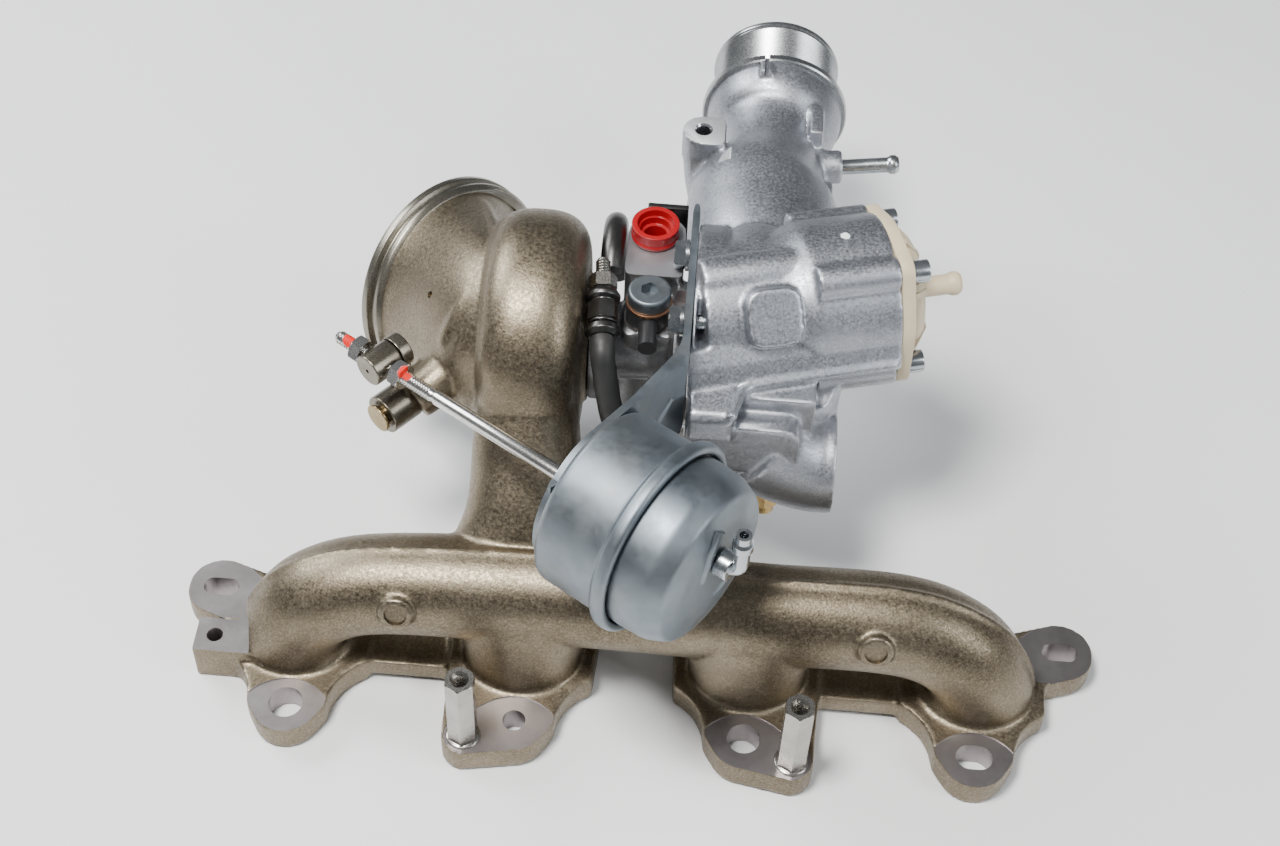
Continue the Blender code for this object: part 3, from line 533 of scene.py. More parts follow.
def rod_steel():
    """Bright rod with dabs of red witness paint beside its two nuts."""
    s = Surface("rod_steel")
    patches, fine = s.noise(60, 4), s.noise(2600, 2, 0.6)
    tone = s.mix(s.ramp(patches, 0.3, 0.7), (0.5, 0.49, 0.47), (0.74, 0.73, 0.71))
    paint = None
    for at in (on_rod(13.6) + Z * 4.6 - Y * 1.0, on_rod(-15.5) + Z * 2.2):
        spot = s.near(at, 3.4)
        tone = s.mix(spot, tone, (0.75, 0.02, 0.01))
        paint = spot if paint is None else s.blend(spot, paint, 1.0)
    gloss = s.blend(paint, s.ramp(fine, 0.3, 0.7, 0.16, 0.3), 0.45)
    s.links.new(s.ramp(paint, 0, 1, 1.0, 0.0), s.shader.inputs["Metallic"])
    return s.finish(tone, gloss, [(fine, 0.3, 0.02)])


CAST_STEEL = cast_metal("cast_steel", (0.125, 0.1, 0.066), (0.22, 0.182, 0.128), 0.43, 1150, 0.16,
                        (0.4, 0.35, 0.27))
CAST_IRON = cast_metal("cast_iron", (0.2, 0.2, 0.205), (0.33, 0.33, 0.34), 0.45, 1300, 0.12,
                       (0.45, 0.45, 0.46))
MACHINED_STEEL = turned_metal("machined_steel", (0.27, 0.245, 0.245), (0.39, 0.36, 0.36), 0.36)
TURNED_STEEL = turned_metal("turned_steel", (0.2, 0.185, 0.15), (0.31, 0.29, 0.245), 0.3, bump=0.006)
GROUND_IRON = turned_metal("ground_iron", (0.36, 0.365, 0.38), (0.46, 0.465, 0.485), 0.5, bump=0.01)
TURNED_ALUMINIUM = turned_metal("turned_aluminium", (0.33, 0.34, 0.35), (0.47, 0.48, 0.49), 0.26)
MILLED_ALUMINIUM = turned_metal("milled_aluminium", (0.78, 0.79, 0.81), (0.88, 0.885, 0.9), 0.55,
                                bump=0.01)
LEVER_STEEL = turned_metal("lever_steel", (0.16, 0.14, 0.11), (0.27, 0.245, 0.2), 0.3)
SPINDLE_STEEL = turned_metal("spindle_steel", (0.26, 0.19, 0.09), (0.4, 0.31, 0.17), 0.26)
CAST_ALUMINIUM = cast_metal("cast_aluminium", (0.3, 0.315, 0.345), (0.41, 0.425, 0.46), 0.45, 1500,
                            0.03, (0.6, 0.61, 0.64), patch=30, harsh=0.4,
                            paint=(70.7, 145.4, 155.2))
MACHINED_ALUMINIUM = turned_metal("machined_aluminium", (0.5, 0.51, 0.54), (0.66, 0.67, 0.7),
                                  0.24)
STEEL = turned_metal("steel", (0.3, 0.285, 0.26), (0.45, 0.43, 0.4), 0.27)
DARK_STEEL = turned_metal("dark_steel", (0.07, 0.068, 0.066), (0.16, 0.155, 0.15), 0.34)
ZINC = plated("zinc", (0.19, 0.222, 0.25), (0.245, 0.275, 0.3), (0.225, 0.235, 0.24), 0.45)
BRIGHT_ZINC = plated("bright_zinc", (0.36, 0.39, 0.42), (0.55, 0.58, 0.6), (0.45, 0.46, 0.46), 0.22)
BRASS = turned_metal("brass", (0.42, 0.27, 0.1), (0.66, 0.47, 0.2), 0.3)
BRONZE = turned_metal("bronze", (0.4, 0.24, 0.12), (0.58, 0.38, 0.2), 0.33)
COPPER = turned_metal("copper", (0.4, 0.2, 0.11), (0.68, 0.36, 0.22), 0.32)
BLACK = moulded("black_coating", (0.012, 0.012, 0.013), (0.03, 0.03, 0.031), 0.38)
RUBBER = moulded("rubber", (0.014, 0.014, 0.014), (0.032, 0.031, 0.03), 0.5)
CREAM = moulded("cream_plastic", (0.56, 0.46, 0.3), (0.68, 0.58, 0.41), 0.42)
RED = moulded("red_plastic", (0.3, 0.003, 0.006), (0.38, 0.008, 0.012), 0.32)
ROD_STEEL = rod_steel()


def piece(name, node, obj, material, slot, body="housing"):
    """Names the piece, turns it into metres, shades it, and puts it in place of its node."""
    obj.name = obj.data.name = name
    obj.data.transform(Matrix.Scale(MM, 4))
    materials = material if isinstance(material, (list, tuple)) else [material]
    indices = [polygon.material_index for polygon in obj.data.polygons]
    obj.data.materials.clear()
    for one in materials:
        obj.data.materials.append(one)
    for polygon, index in zip(obj.data.polygons, indices):
        polygon.material_index = min(index, len(materials) - 1)
        polygon.use_smooth = True
    obj.data.set_sharp_from_angle(angle=SHARP_ANGLE)
    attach(obj, body)
    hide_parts(node)


def fine(node, obj, material, slot, body="housing"):
    """A piece that is named after its node."""
    piece(node + "_fine", node, obj, material, slot, body)


# ---- exhaust manifold
def runner_stations():
    """End runners and log in one path: port, elbow, log, elbow, port."""
    half = [(139.5, PORT_Y, 27.5, 20.8), (140.5, PORT_Y + 1, 22, 20.5), (129.5, 36, LOG_R, LOG_R),
            (104, 39, LOG_R, LOG_R)]
    heights = (1.5, 20, 37, 45)
    left = [(-x, y, z, a, b) for (x, y, a, b), z in zip(half, heights)]
    right = [(x, y, z, a, b) for (x, y, a, b), z in zip(half, heights)][::-1]
    middle = [(-46, 40, 47, LOG_R + 1, LOG_R + 1), (0, 39.5, 46, LOG_R, LOG_R),
              (50, 39, 45, LOG_R, LOG_R)]
    return left + middle + right


def deep_runner():
    """The runner path carried through the sealing face, for the gas passage."""
    rows = runner_stations()
    first, last = rows[0], rows[-1]
    rows[0] = (first[0], first[1], -3.0, 26, 21)
    rows[-1] = (last[0], last[1], -3.0, 26, 21)
    return rows


def inner_stations(x, low):
    """Inner runner of one port, from below the flange up into the log."""
    return [(x, PORT_Y, low, 27.5, 20.8), (x, PORT_Y + 0.3, 14, 24.5, 20.6),
            (x, 35, 27, 26.5, 20.6), (x, 38.2, 42, 34, 20.6), (x, 41, 52, 37, 13)]


def riser_stations():
    """From the log up to the volute."""
    return [(-46, 36, 45, 21, 45), (-46, 46, 46.8, 20.4, 41), (-46.5, 56, 50.5, 20.2, 34),
            (-47, 65, 57.5, 21.5, 28.5), (-48, 74, 67, 22, 24.5), (-50, 87, 82, 21, 22),
            (VOLUTE_X, 100, 100, 19, 20.5)]


def outlet(thinner=0.0, reach=0.0):
    """Turbine outlet: round sections turned evenly from the shaft axis to the outlet's axis."""
    start, end = Vector((-57.3, 131.2, 101.7)), OUTLET_C + OUTLET_N * reach
    pull, start_r, steps = (end - start).length / 3, 40, 20
    sections = []
    for i in range(steps + 1):
        t = i / steps
        a, b, c, d = start, start - X * pull, end - OUTLET_N * pull, end
        centre = (a * (1 - t) ** 3 + b * (3 * t * (1 - t) ** 2) + c * (3 * t * t * (1 - t))
                  + d * t ** 3)
        normal = (-X).lerp(OUTLET_N, t).normalized()
        side = normal.cross(Z).normalized()
        radius = start_r + (OUTLET_R - start_r) * t - thinner
        sections.append(loop(centre, side, side.cross(normal), radius, radius, 96))
    return skin(sections)


def port_flange(x):
    """Flange of one port, drawn in between its ear and its port."""
    circles = [(x, 0, EAR_R), (x - 20, 25, 10), (x + 20, 25, 10), (x - 21, 46, 10),
               (x + 21, 46, 10)]
    inner = x in INNER_PORTS
    if inner:
        circles.append((math.copysign(SPACER_X, x), SPACER_Y, 9))
    body = plate(circles, 0, FLANGE_T)
    scoop, depth = 24, 3.2
    for s in (-1, 1):
        if inner and s == math.copysign(1, x):
            continue
        middle, out = Vector((x + s * 22.6, 11.0, 0)), Vector((s * 0.85, -0.53, 0))
        centre = middle + out * (scoop - depth)
        cut(body, [rod(centre - Z * 2, centre + Z * 20, scoop, 96)])
    return body


def surface_ridge(turn, radius, part):
    """Thin ridge along a part of the runner path's outer side, as a mould's parting line leaves."""
    rows = list(path_frames(runner_stations(), Y, 8))
    first, last = int(part[0] * len(rows)), int(part[1] * len(rows))
    c, s = math.cos(math.radians(turn)), math.sin(math.radians(turn))
    return skin([
        loop(centre + side * (row[3] * c) + over * (row[4] * s), side, over, radius, radius, 12)
        for centre, side, over, row in rows[first:last]
    ])


def boss_base(x, out):
    """Point on the axis of a blind boss, measured from the middle of the log."""
    return Vector((x, 39, 45)) + BOSS_OUT * out


def manifold_solids():
    solids = [
        sweep(runner_stations(), up=Y, per=10),
        *[sweep(inner_stations(x, 1.5), up=Y) for x in INNER_PORTS],
        *[port_flange(x) for x in PORT_X],
        sweep(riser_stations(), up=X, power=0.78, seg=64),
        torus(VOLUTE_X, VOLUTE_MAJOR, VOLUTE_TUBE, 0.74),
        lathe([(-71.5, 29), (-34, 29), (-28, 26)], AXIS, X, 96),
        outlet(),
        rod(on_spindle(17.8), on_spindle(38), 9.7),
        surface_ridge(6, 1.0, (0.09, 0.44)),
        surface_ridge(4, 1.5, (0.56, 0.93)),
        # Web between the outlet's bell and its rim, and the swept edge of the bypass chamber
        sweep([(-86, 112, 108, 1.5, 1.5), (-84.5, 111, 115.5, 3.6, 3.6),
               (-79, 115.5, 127, 3.8, 3.8), (-73, 125, 134.5, 3, 3), (-68, 134, 135, 1, 1)], seg=20),
        sweep([(-86, 192, 115, 2.0, 3), (-79, 184, 119.5, 2.4, 4), (-73, 166, 128.5, 2.4, 4),
               (-68.5, 148, 136, 2, 4)], seg=16),
        sweep([(-97, 97, 93, 9, 9), (-87, 106, 97, 10, 10), (-77, 116, 101, 12, 12)], seg=32),
    ]
    for s in (-1, 1):
        solids.append(plate([(s * LUG_X, LUG_Y, EAR_R), (s * 148, 44, EAR_R)], 0, FLANGE_T))
        solids.append(block((min(s * 70, s * 116), 23, 2), (max(s * 70, s * 116), 47, 11)))
        # Webs that carry the lugs up to the end runners
        solids.append(sweep([(s * 150, 42, 10, 5, 12), (s * 158, 46, 9, 4.5, 8),
                             (s * 167, 50, 8, 4, 4)], seg=20))
    solids.append(block((-181, 17.5, 0), (-156, 34, 19.4)))
    return solids + [rod(boss_base(x, 0), boss_base(x, 23.2), 7.2) for x in BOSS_X]


def manifold_hollows():
    return cast([
        sweep(deep_runner(), up=Y, thinner=WALL),
        *[sweep(inner_stations(x, -3), up=Y, thinner=WALL) for x in INNER_PORTS],
        sweep(riser_stations(), up=X, thinner=5.0),
        torus(VOLUTE_X, VOLUTE_MAJOR + 3, 12.5),
        outlet(thinner=4.6, reach=2.0),
        lathe([(-75, TURBINE_R + 1), (-38, TURBINE_R + 1)], AXIS, X, 96),
    ], 1.3, 2)


def manifold_cutters():
    """Sealing face, spot faces, holes and bores."""
    cutters = [block((-230, -60, -30), (230, 330, 0)),
               lathe([(-60, TURBINE_R + 1), (-27, TURBINE_R + 1)], AXIS, X, 96)]
    for x in PORT_X:
        spot = [(x, -9.0, 20.0)]
        if x in INNER_PORTS:
            spot.append((math.copysign(SPACER_X, x), SPACER_Y, 8.2))
        cutters.append(plate(spot, SPOT_Z, 24))
    for s in (-1, 1):
        cutters.append(plate([(s * (LUG_X + 4), LUG_Y + 1, 17), (s * 168, 50, 12)], SPOT_Z, 30))
    cutters.append(block((-190, 12, 18.6), (-157.5, 40, 30)))
    for s in (-1, 1):
        cutters.append(plate([(s * (LUG_X - 3.25), LUG_Y, 4.25), (s * (LUG_X + 3.25), LUG_Y, 4.25)],
                             -2, 24))
    cutters.append(plate([(PORT_X[3] - 1.95, 0, 5.5), (PORT_X[3] + 1.95, 0, 5.5)], -2, 24))
    cutters += [rod((x, 0, -1), (x, 0, 20), r) for x, r in zip(PORT_X[:3], (7.0, 4.7, 6.75))]
    cutters.append(lathe([(-1, 2.7), (17.4, 2.7), (18.7, 3.4)], Vector((-173, 25.5, 0)), Z, 32))
    return cutters + [rod(on_spindle(10), on_spindle(40), 6.2)]


def bypass_seat():
    """Ring in the gas passage that the wastegate's flap closes."""
    seat = on_spindle(FLAP_S, 6.0, FLAP_Z)
    return cut(rod(seat, seat + ARM_U * 14, 10.5), [rod(seat - ARM_U, seat + ARM_U * 23, 6.5)])


def outlet_rim():
    """Turned rim of the outlet, with its clamp groove."""
    rim = rounded([(-11, 43.0), (-10.6, 45.2), (-8.8, 46.9), (-6.6, 46.9), (-6.0, 45.2),
                   (-4.4, 45.2), (-3.4, 47.8), (0.0, 47.9), (0.0, 41.4), (-11, 41.4)], 0.5, 3, True)
    return ring(rim, OUTLET_C, OUTLET_N, 160)


def manifold():
    body = cast(manifold_solids(), 1.0, 11)
    cut(body, [manifold_hollows()])
    mill(body, manifold_cutters())
    fuse([body, machined(bypass_seat())])
    fuse([body, machined(outlet_rim(), 2)])
    for x in BOSS_X:
        base = boss_base(x, 23)
        cut(body, [rod(base - BOSS_OUT * 0.9, base + BOSS_OUT * 4, 4.6)])
    # Small blind hole in the outlet's bell
    bell = Vector((-94.3, 128.2, 122.7))
    inward = Vector((0.74, 0.29, -0.61)).normalized()
    cut(body, [rod(bell - inward * 3, bell + inward * 2.5, 1.5, 24)])
    materials = [CAST_STEEL, MACHINED_STEEL, TURNED_STEEL]
    piece("manifold_casting", "exhaust_manifold", body, materials, "cast_steel")


# ---- compressor housing
def screw_sites():
    for k in range(4):
        t = math.radians(COVER_SCREW_FIRST + 90 * k)
        yield VALVE_SIDE * (COVER_SCREW_RING * math.cos(t)) + Z * (COVER_SCREW_RING * math.sin(t))


def inlet_outer():
    return [(PIPE_X, 281, 100, 31, 31), (PIPE_X, 272, 100, 30, 30),
            (PIPE_X - 0.5, 263, 100, 26.5, 26.5), (41.5, 254, 101, 21.5, 22.5),
            (41.5, 243, 101.5, 21.5, 22.5), (41.5, 232, 102, 25, 25), (39, 216, 103, 31.5, 29.5),
            (40, 198, 103.5, 34, 30.5), (42, 178, 104, 33, 31), (46, 150, 102, 30, 30)]


def inlet_bore():
    return [(PIPE_X, 314, 100, 25.2, 25.2), (PIPE_X, 280, 100, 24, 24),
            (PIPE_X - 1.5, 256, 101, 18, 18), (PIPE_X - 1.5, 243, 101, 17.5, 17.5),
            (45, 210, 102, 19.5, 19.5),
            (52, 174, 101, 18, 18), (55, 150, 100, 17, 17), (55, 116, 100, 17, 17)]


def trim(obj, inset=0):
    """Keeps the scroll, or inset the passage in it, under the skirt of the valve body."""
    for outline, depth in (
        ([(40, 112), (84, 112), (101, 104), (101, 170), (40, 170)], 90),
        ([(100, 104), (103, 105), (116, 113), (134, 126), (134, 170), (100, 170)], 85.4),
    ):
        outline = [(y + inset, z - inset) for y, z in outline]
        cut(obj, [prism(outline, (100, 0, 0), Y, Z, -depth)])
    return obj


def valve_body():
    """Barrel with its upper lobe, its pad, the way to the inlet and the pillars of its screws."""
    right = on_valve(VALVE_LEN)
    pad_out = valve_out(40)
    pad_side = pad_out.cross(VALVE_V).normalized()
    pad = rounded([(15, -11.5), (37, -11.5), (37, 11.5), (15, 11.5)], 7, 5, True)
    return [
        lathe([(0.1, 28), (32, 29.2), (37, 30.2), (44, VALVE_R),
               (VALVE_LEN + 0.6, VALVE_R)], VALVE_P, VALVE_V, 120),
        sweep([(*(on_valve(s) + valve_out(84) * 21.5), a, a) for s, a in
               ((1, 9.5), (16, 10), (30, 10), (46, 9.6), (56, 8))], seg=40),
        prism(pad, VALVE_P + pad_out * 22, VALVE_V, pad_side, 12.2),
        sweep([(44, 140, 100, 25, 25), (56, 144, 100, 21, 22), (60, 150, 100, 21, 21)]),
        *[rod(right + d * 1.015 - VALVE_V * 33, right + d * 1.015 + VALVE_V * 0.6, 7.2)
          for d in screw_sites()],
    ]


def compressor_solids():
    scroll = fuse([
        lathe([(FACE_X, 50), (24, 50), (30, 44), (62, 38), (70, 31), (75, 22)], AXIS, X, 120),
        torus(SCROLL_X, SCROLL_MAJOR, SCROLL_TUBE),
    ])
    skirt = [(-27, 10), (-32.6, 4.5), (-36.4, -1.5), (-37.4, -5.5), (-34, -8), (-22, -12), (0, 0)]
    return [
        trim(scroll),
        prism(skirt, on_valve(-10), VALVE_SIDE, Z, VALVE_LEN + 10.2),
        sweep(inlet_outer(), seg=64),
        sweep([(44, 98, 86, 23, 23), (56, 97, 78, 21.5, 21.5), (66, 97, 74, 21, 21),
               (75.6, 97, 74, 21, 21)], seg=56),
        *valve_body(),
        # Lug with a flat top beside the inlet
        plate([(11.5, 235.5, 9.2), (18.2, 241.6, 3.2), (18.4, 229.6, 3.2)], 112, 126.4),
        sweep([(12, 235.5, 116, 9, 9), (14, 232, 106, 10, 12), (20, 222, 98, 12, 16)], up=Y),
        # Lip along the foot of the skirt, and the foot below it
        sweep([(31, 77.5, 118.5, 2.2, 2.2), (32.4, 84, 119, 2.2, 2.2), (36, 93, 119.3, 2.2, 2.2),
               (46, 97.4, 119.4, 2.2, 2.2), (96, 112, 119.5, 2.2, 2.2)], seg=20),
        prism([(76, 106), (76.4, 116.5), (79, 119.6), (93, 121), (112, 127), (112, 106)],
              (14.5, 0, 0), Y, Z, 17.0),
        block((30, 90, 98), (64, 104, 117.5)),
        # Raised panel on the scroll, tabs along the inlet, bosses of the nipple and the fitting
        prism(rounded([(21, 84), (59, 84), (59, 111), (21, 111)], 8, 5, True), (0, 92, 0), X, Z,
              12.6),
        block((58, 245, 96), (64.5, 263, 121)),
        rod((48, 237, 106.5), (73.5, 239.6, 106.7), 7.4),
        block((56, 214, 96), (70, 228, 109)),
        rod((*FITTING, 70), (*FITTING, 55.6), 8.7),
        # Stop on the collar, which has a notch
        block((34.4, 270, 124), (40.2, 278, 132.6)),
    ]


def collar_notch():
    return block((36.4, 262, 130), (38.3, 284, 136))


def compressor_hollows():
    return cast([
        trim(torus(32, 36, 12.8), inset=5),
        sweep(inlet_bore()),
        sweep([(36, 99, 88, 12, 12), (56, 97, 78, 15.5, 15.5), (66, 97, 74, 17, 17),
               (78, 97, 74, 17, 17)]),
    ], 1.2, 2)


def compressor_cutters():
    """Joint face, wheel and valve bores, and holes."""
    right = on_valve(VALVE_LEN)
    return [
        block((-40, 60, 40), (FACE_X, 178, 170)),
        lathe([(12, 34.0), (17.8, 34.0)], AXIS, X, 96), lathe([(17, 33), (21.3, 33)], AXIS, X, 96),
        lathe([(20, 24.6), (24, 22.5), (28, 19.5), (32, 18.0), (39, 17.9)], AXIS, X, 96),
        rod(on_axis(38), on_axis(70), 17.6, 72),
        rod(on_valve(VALVE_SEAT), right + VALVE_V * 2, VALVE_BORE, 72),
        rod(on_valve(VALVE_SEAT + 2) + Z, on_valve(16) + Z * 7, 6.0),
        prism([(-60, -60), (60, -60), (60, 60), (-60, 60)], right, VALVE_SIDE, Z, 8),
        *[rod(right + d - VALVE_V * 14, right + d + VALVE_V, 2.6, 24) for d in screw_sites()],
        *[rod((12, y, z), (18.8, y, z), 3.3, 32) for y, z in SCREWS],
        lathe([(0, 3.3), (27, 3.3), (28.3, 4.2)], Vector((11.5, 236, 98)), Z, 40),
        rod((62, 238.6, 105.5), (76, 239.7, 106.7), 3.2, 32),
        block((75, 65, 40), (90, 125, 104)),
        rod((*FITTING, 50), (*FITTING, 68), 4.4, 32),
        block((30, 85, 40), (70, 120, 56)),
    ]


def spigot():
    """Turned end of the inlet, with fine grooves for the hose."""
    grooves = []
    for k in range(13):
        grooves += [(-25.6 + 1.7 * k, 27.5), (-24.75 + 1.7 * k, 28.2)]
    profile = [(-33, 27), (-33, 32.4), (-32.4, 33), (-29.6, 33), (-29, 32.4), (-28.6, 28.4),
               *grooves, (-3.2, 28.2), (-2.8, 28.8), (-2.2, 29.0), (-1.0, 29.0), (0, 28.2),
               (0, 25.6), (-1.2, 25.0), (-33, 24.3)]
    return ring(profile, Vector((PIPE_X, PIPE_END_Y, 100)), Y, 160)


def compressor():
    body = cast(compressor_solids(), 0.9, 9)
    cut(body, [compressor_hollows()])
    cut(body, [collar_notch()])
    mill(body, compressor_cutters())
    mill(body, [block((-5, 215, 126), (24, 250, 140))], 2)
    fuse([body, cut(machined(spigot(), 3), [collar_notch()])])
    materials = [CAST_ALUMINIUM, MACHINED_ALUMINIUM, MILLED_ALUMINIUM, TURNED_ALUMINIUM]
    piece("compressor_casting", "compressor_housing", body, materials, "cast_aluminium")


# ---- fasteners
def hex_head(base, axis, height, radius, chamfer=0.9):
    """Hexagon with its corners turned off at both ends."""
    body = hexagon(base, axis, height, radius)
    barrel = lathe([(0, radius * 0.9), (chamfer, radius * 1.03), (height - chamfer, radius * 1.03),
                    (height, radius * 0.9)], Vector(base), axis, 72)
    return meet(body, [barrel])


def threads(start, end, radius, pitch=1.25):
    """(station, radius) pairs of a thread's crests and roots."""
    out, s = [], start
    while s + pitch < end:
        out += [(s, radius - 0.42), (s + pitch * 0.4, radius), (s + pitch * 0.6, radius)]
        s += pitch
    return out + [(end, radius - 0.42)]


def spacers():
    for name, x in (("spacer_nut_left", -SPACER_X), ("spacer_nut_right", SPACER_X)):
        base = Vector((x, SPACER_Y, SPOT_Z))
        height = SPACER_TOP - SPOT_Z
        body = hex_head(base, Z, height, 6.35, 0.8)
        fuse([body, turned([(0, 7.0), (0.7, 7.0), (1.2, 6.0)], 0.3, base, Z)])
        bore = [(0, 2.9)] + [(s, r - 0.2) for s, r in threads(0.2, 13, 3.6)] + [(14.2, 3.9)]
        cut(body, [lathe(bore, Vector((x, SPACER_Y, SPACER_TOP - 14)), Z, 48)])
        fine(name, body, STEEL, "steel")


def housing_screws():
    for k, (y, z) in enumerate(SCREWS[2:]):
        body = fuse([hex_head((7.6, y, z), X, 5.2, 5.6),
                     lathe([(12.0, 5.6), (12.1, 6.4), (12.9, 6.4)], Vector((0, y, z)), X),
                     rod((12, y, z), (18.3, y, z), 3.0)])
        fine(f"housing_screw_{k + 1}", body, STEEL, "steel")


def cover_screws():
    for k, d in enumerate(screw_sites()):
        base = COVER_AT + d
        head = turned([(5.8, 4.0), (5.8, 4.6), (12.5, 4.6), (12.5, 4.0)], 0.5, base, VALVE_V)
        cut(head, [hexagon(base + VALVE_V * 8.5, VALVE_V, 6, 2.75)])
        fuse([head, rod(base - VALVE_V * 11, base + VALVE_V * 6.5, 2.3)])
        fine(f"cover_screw_{k + 1}", head, BRIGHT_ZINC, "zinc_plate")


# ---- recirculation valve
def valve_cover():
    ears = [(d.dot(VALVE_SIDE), d.z, 7.0) for d in screw_sites()] + [(0, 0, 32.2)]
    flat = soften(prism(hull(ears, 96), COVER_AT, VALVE_SIDE, Z, 5.5), 0.5)
    dome = turned([(0.4, 27.6), (8.5, 27.2), (12.6, 22.5), (14.6, 12.5)], 1.6, COVER_AT,
                  VALVE_V, 96)
    shapes = [flat, dome,
              turned([(12, 6.4), (15.4, 6.4), (16.2, 4.3), (29, 4.2), (31, 5.0), (33, 5.0),
                      (34.5, 4.0)], 0.6, COVER_AT, VALVE_V)]
    # Gussets stand between the screws, from the flange ring up to the dome
    wedge = [(14, 5.0), (30.6, 5.0), (30.2, 7.0), (21.5, 13.6), (14, 14.4)]
    for k in range(8):
        t = math.radians(COVER_SCREW_FIRST + 45 * k + 22.5)
        out = VALVE_SIDE * math.cos(t) + Z * math.sin(t)
        shapes.append(prism(wedge, COVER_AT + out.cross(VALVE_V), out, VALVE_V, 2.0))
    cover = fuse(shapes)
    cutters = [lathe([(-1, 14.4), (8, 14.4), (10, 12)], COVER_AT, VALVE_V),
               rod(COVER_AT + VALVE_V * 6, COVER_AT + VALVE_V * 36, 2.2)]
    for d in screw_sites():
        base = COVER_AT + d
        cutters.append(rod(base - VALVE_V, base + VALVE_V * 40, 3.0))
        cutters.append(rod(base + VALVE_V * 5.2, base + VALVE_V * 40, 5.7))
    cut(cover, cutters)
    piece("valve_cover", "diverter_cover", cover, CREAM, "cream_plastic")


def piston():
    nose = VALVE_SEAT + 0.3
    cup = turned([(nose, 13.4), (nose + 1.2, 14.6), (nose + 18, 14.6)], 0.6, VALVE_P, VALVE_V, 96)
    cut(cup, [lathe([(nose + 3, 12.6), (nose + 20, 12.6)], VALVE_P, VALVE_V, 96)])
    piece("piston_fine", "diverter_piston", cup, DARK_STEEL, "dark_steel", "valve_piston")


# ---- oil and coolant
def centre_housing():
    pad = rounded([(-16, 143), (7.8, 143), (7.8, 172), (2, 178), (-10, 178), (-16, 171)], 3, 4,
                  True)
    body = cast([
        lathe([(-27.7, 25), (-23, 25), (-21, 16), (-4, 15), (4, 17), (6.0, 26), (12.7, 26)],
              AXIS, X, 96),
        prism(pad, (0, 0, 96), X, Y, PAD_TOP - 95.5),
        rod((*BANJO, 104), (*BANJO, 118.6), 9.7),
        prism(rounded([(-15, 119), (7.6, 119), (7.6, 145), (-15, 145)], 5, 5, True), (0, 0, 98),
              X, Y, 19.4),
        rod((DRAIN_X, AXIS_Y, 96), (DRAIN_X, AXIS_Y, 60.4), 11.5),
        lathe([(60.4, 14.6), (66, 14.6)], Vector((DRAIN_X, AXIS_Y, 0)), Z),
    ], 0.8, 3)
    mill(body, [
        rod(on_axis(-30), on_axis(-22.5), 7.2), rod(on_axis(-23), on_axis(9), 7.5),
        rod(on_axis(9), on_axis(14), 13.2), block((-40, 120, 118.0), (20, 138.5, 140)),
        block((-40, 110, 40), (30, 160, 61)),
        rod((*OIL_IN, 112), (*OIL_IN, 130), 6.1), rod((*OIL_IN, 113), (-5, 137, 101), 2.4, 24),
        rod((*BANJO, 104), (*BANJO, 120), 2.6, 24),
        rod((DRAIN_X, AXIS_Y, 98), (DRAIN_X, AXIS_Y, 58), 7.5),
    ])
    mill(body, [block((-40, 140, PAD_TOP), (20, 190, 140))], 2)
    materials = [CAST_IRON, MACHINED_STEEL, GROUND_IRON]
    piece("centre_casting", "centre_housing", body, materials, "cast_iron_dark")


def oil_plug():
    at = Vector((*OIL_IN, PAD_TOP))
    plug = turned([(-14, 5.6), (0.35, 5.6), (0.4, 9.7), (2.0, 10.0), (2.8, 9.5), (7.6, 9.9),
                   (7.6, 8.4)], 0.45, at, Z, 96)
    cut(plug, [lathe([(-12, 4.4), (1.2, 4.9), (1.5, 6.2), (4.5, 6.4), (4.6, 7.3), (9, 7.7)], at, Z,
                     96)])
    piece("oil_plug", "oil_inlet_plug", plug, RED, "red_plastic")


def banjo():
    """Oil feed block with its washer and bolt."""
    at = Vector((*BANJO, 118.3))
    block_body = fuse([turned([(0, 8.6), (0, 9.2), (8.0, 9.2), (8.0, 8.6)], 0.6, at, Z, 96),
                       rod((-4.8, 124, 122.3), (-4, 108, 122.3), 3.8)])
    cut(block_body, [rod(at - Z, at + Z * 10, 4.8)])
    piece("banjo_block", "banjo_fitting", block_body, BLACK, "black_coating")
    washer = rounded([(8.3, 5.0), (9.8, 5.0), (9.8, 9.4), (8.3, 9.4)], 0.4, 3, True)
    fine("copper_washer", ring(washer, at, Z, 96), COPPER, "copper")
    bolt = fuse([turned([(10.1, 8.2), (10.1, 8.8), (15.0, 8.8), (16.0, 8.0), (16.0, 7)], 0.5,
                        at, Z, 96),
                 rod(at + Z * 0.5, at + Z * 11, 4.4)])
    cut(bolt, [hexagon(at + Z * 11, Z, 8, 3.8)])
    fine("banjo_bolt", bolt, ZINC, "zinc_plate")


def clip_plate():
    clip = soften(block((-9, 178.5, 108), (8, 181.5, 132)), 0.6)
    fine("clip_plate", clip, DARK_STEEL, "dark_steel")


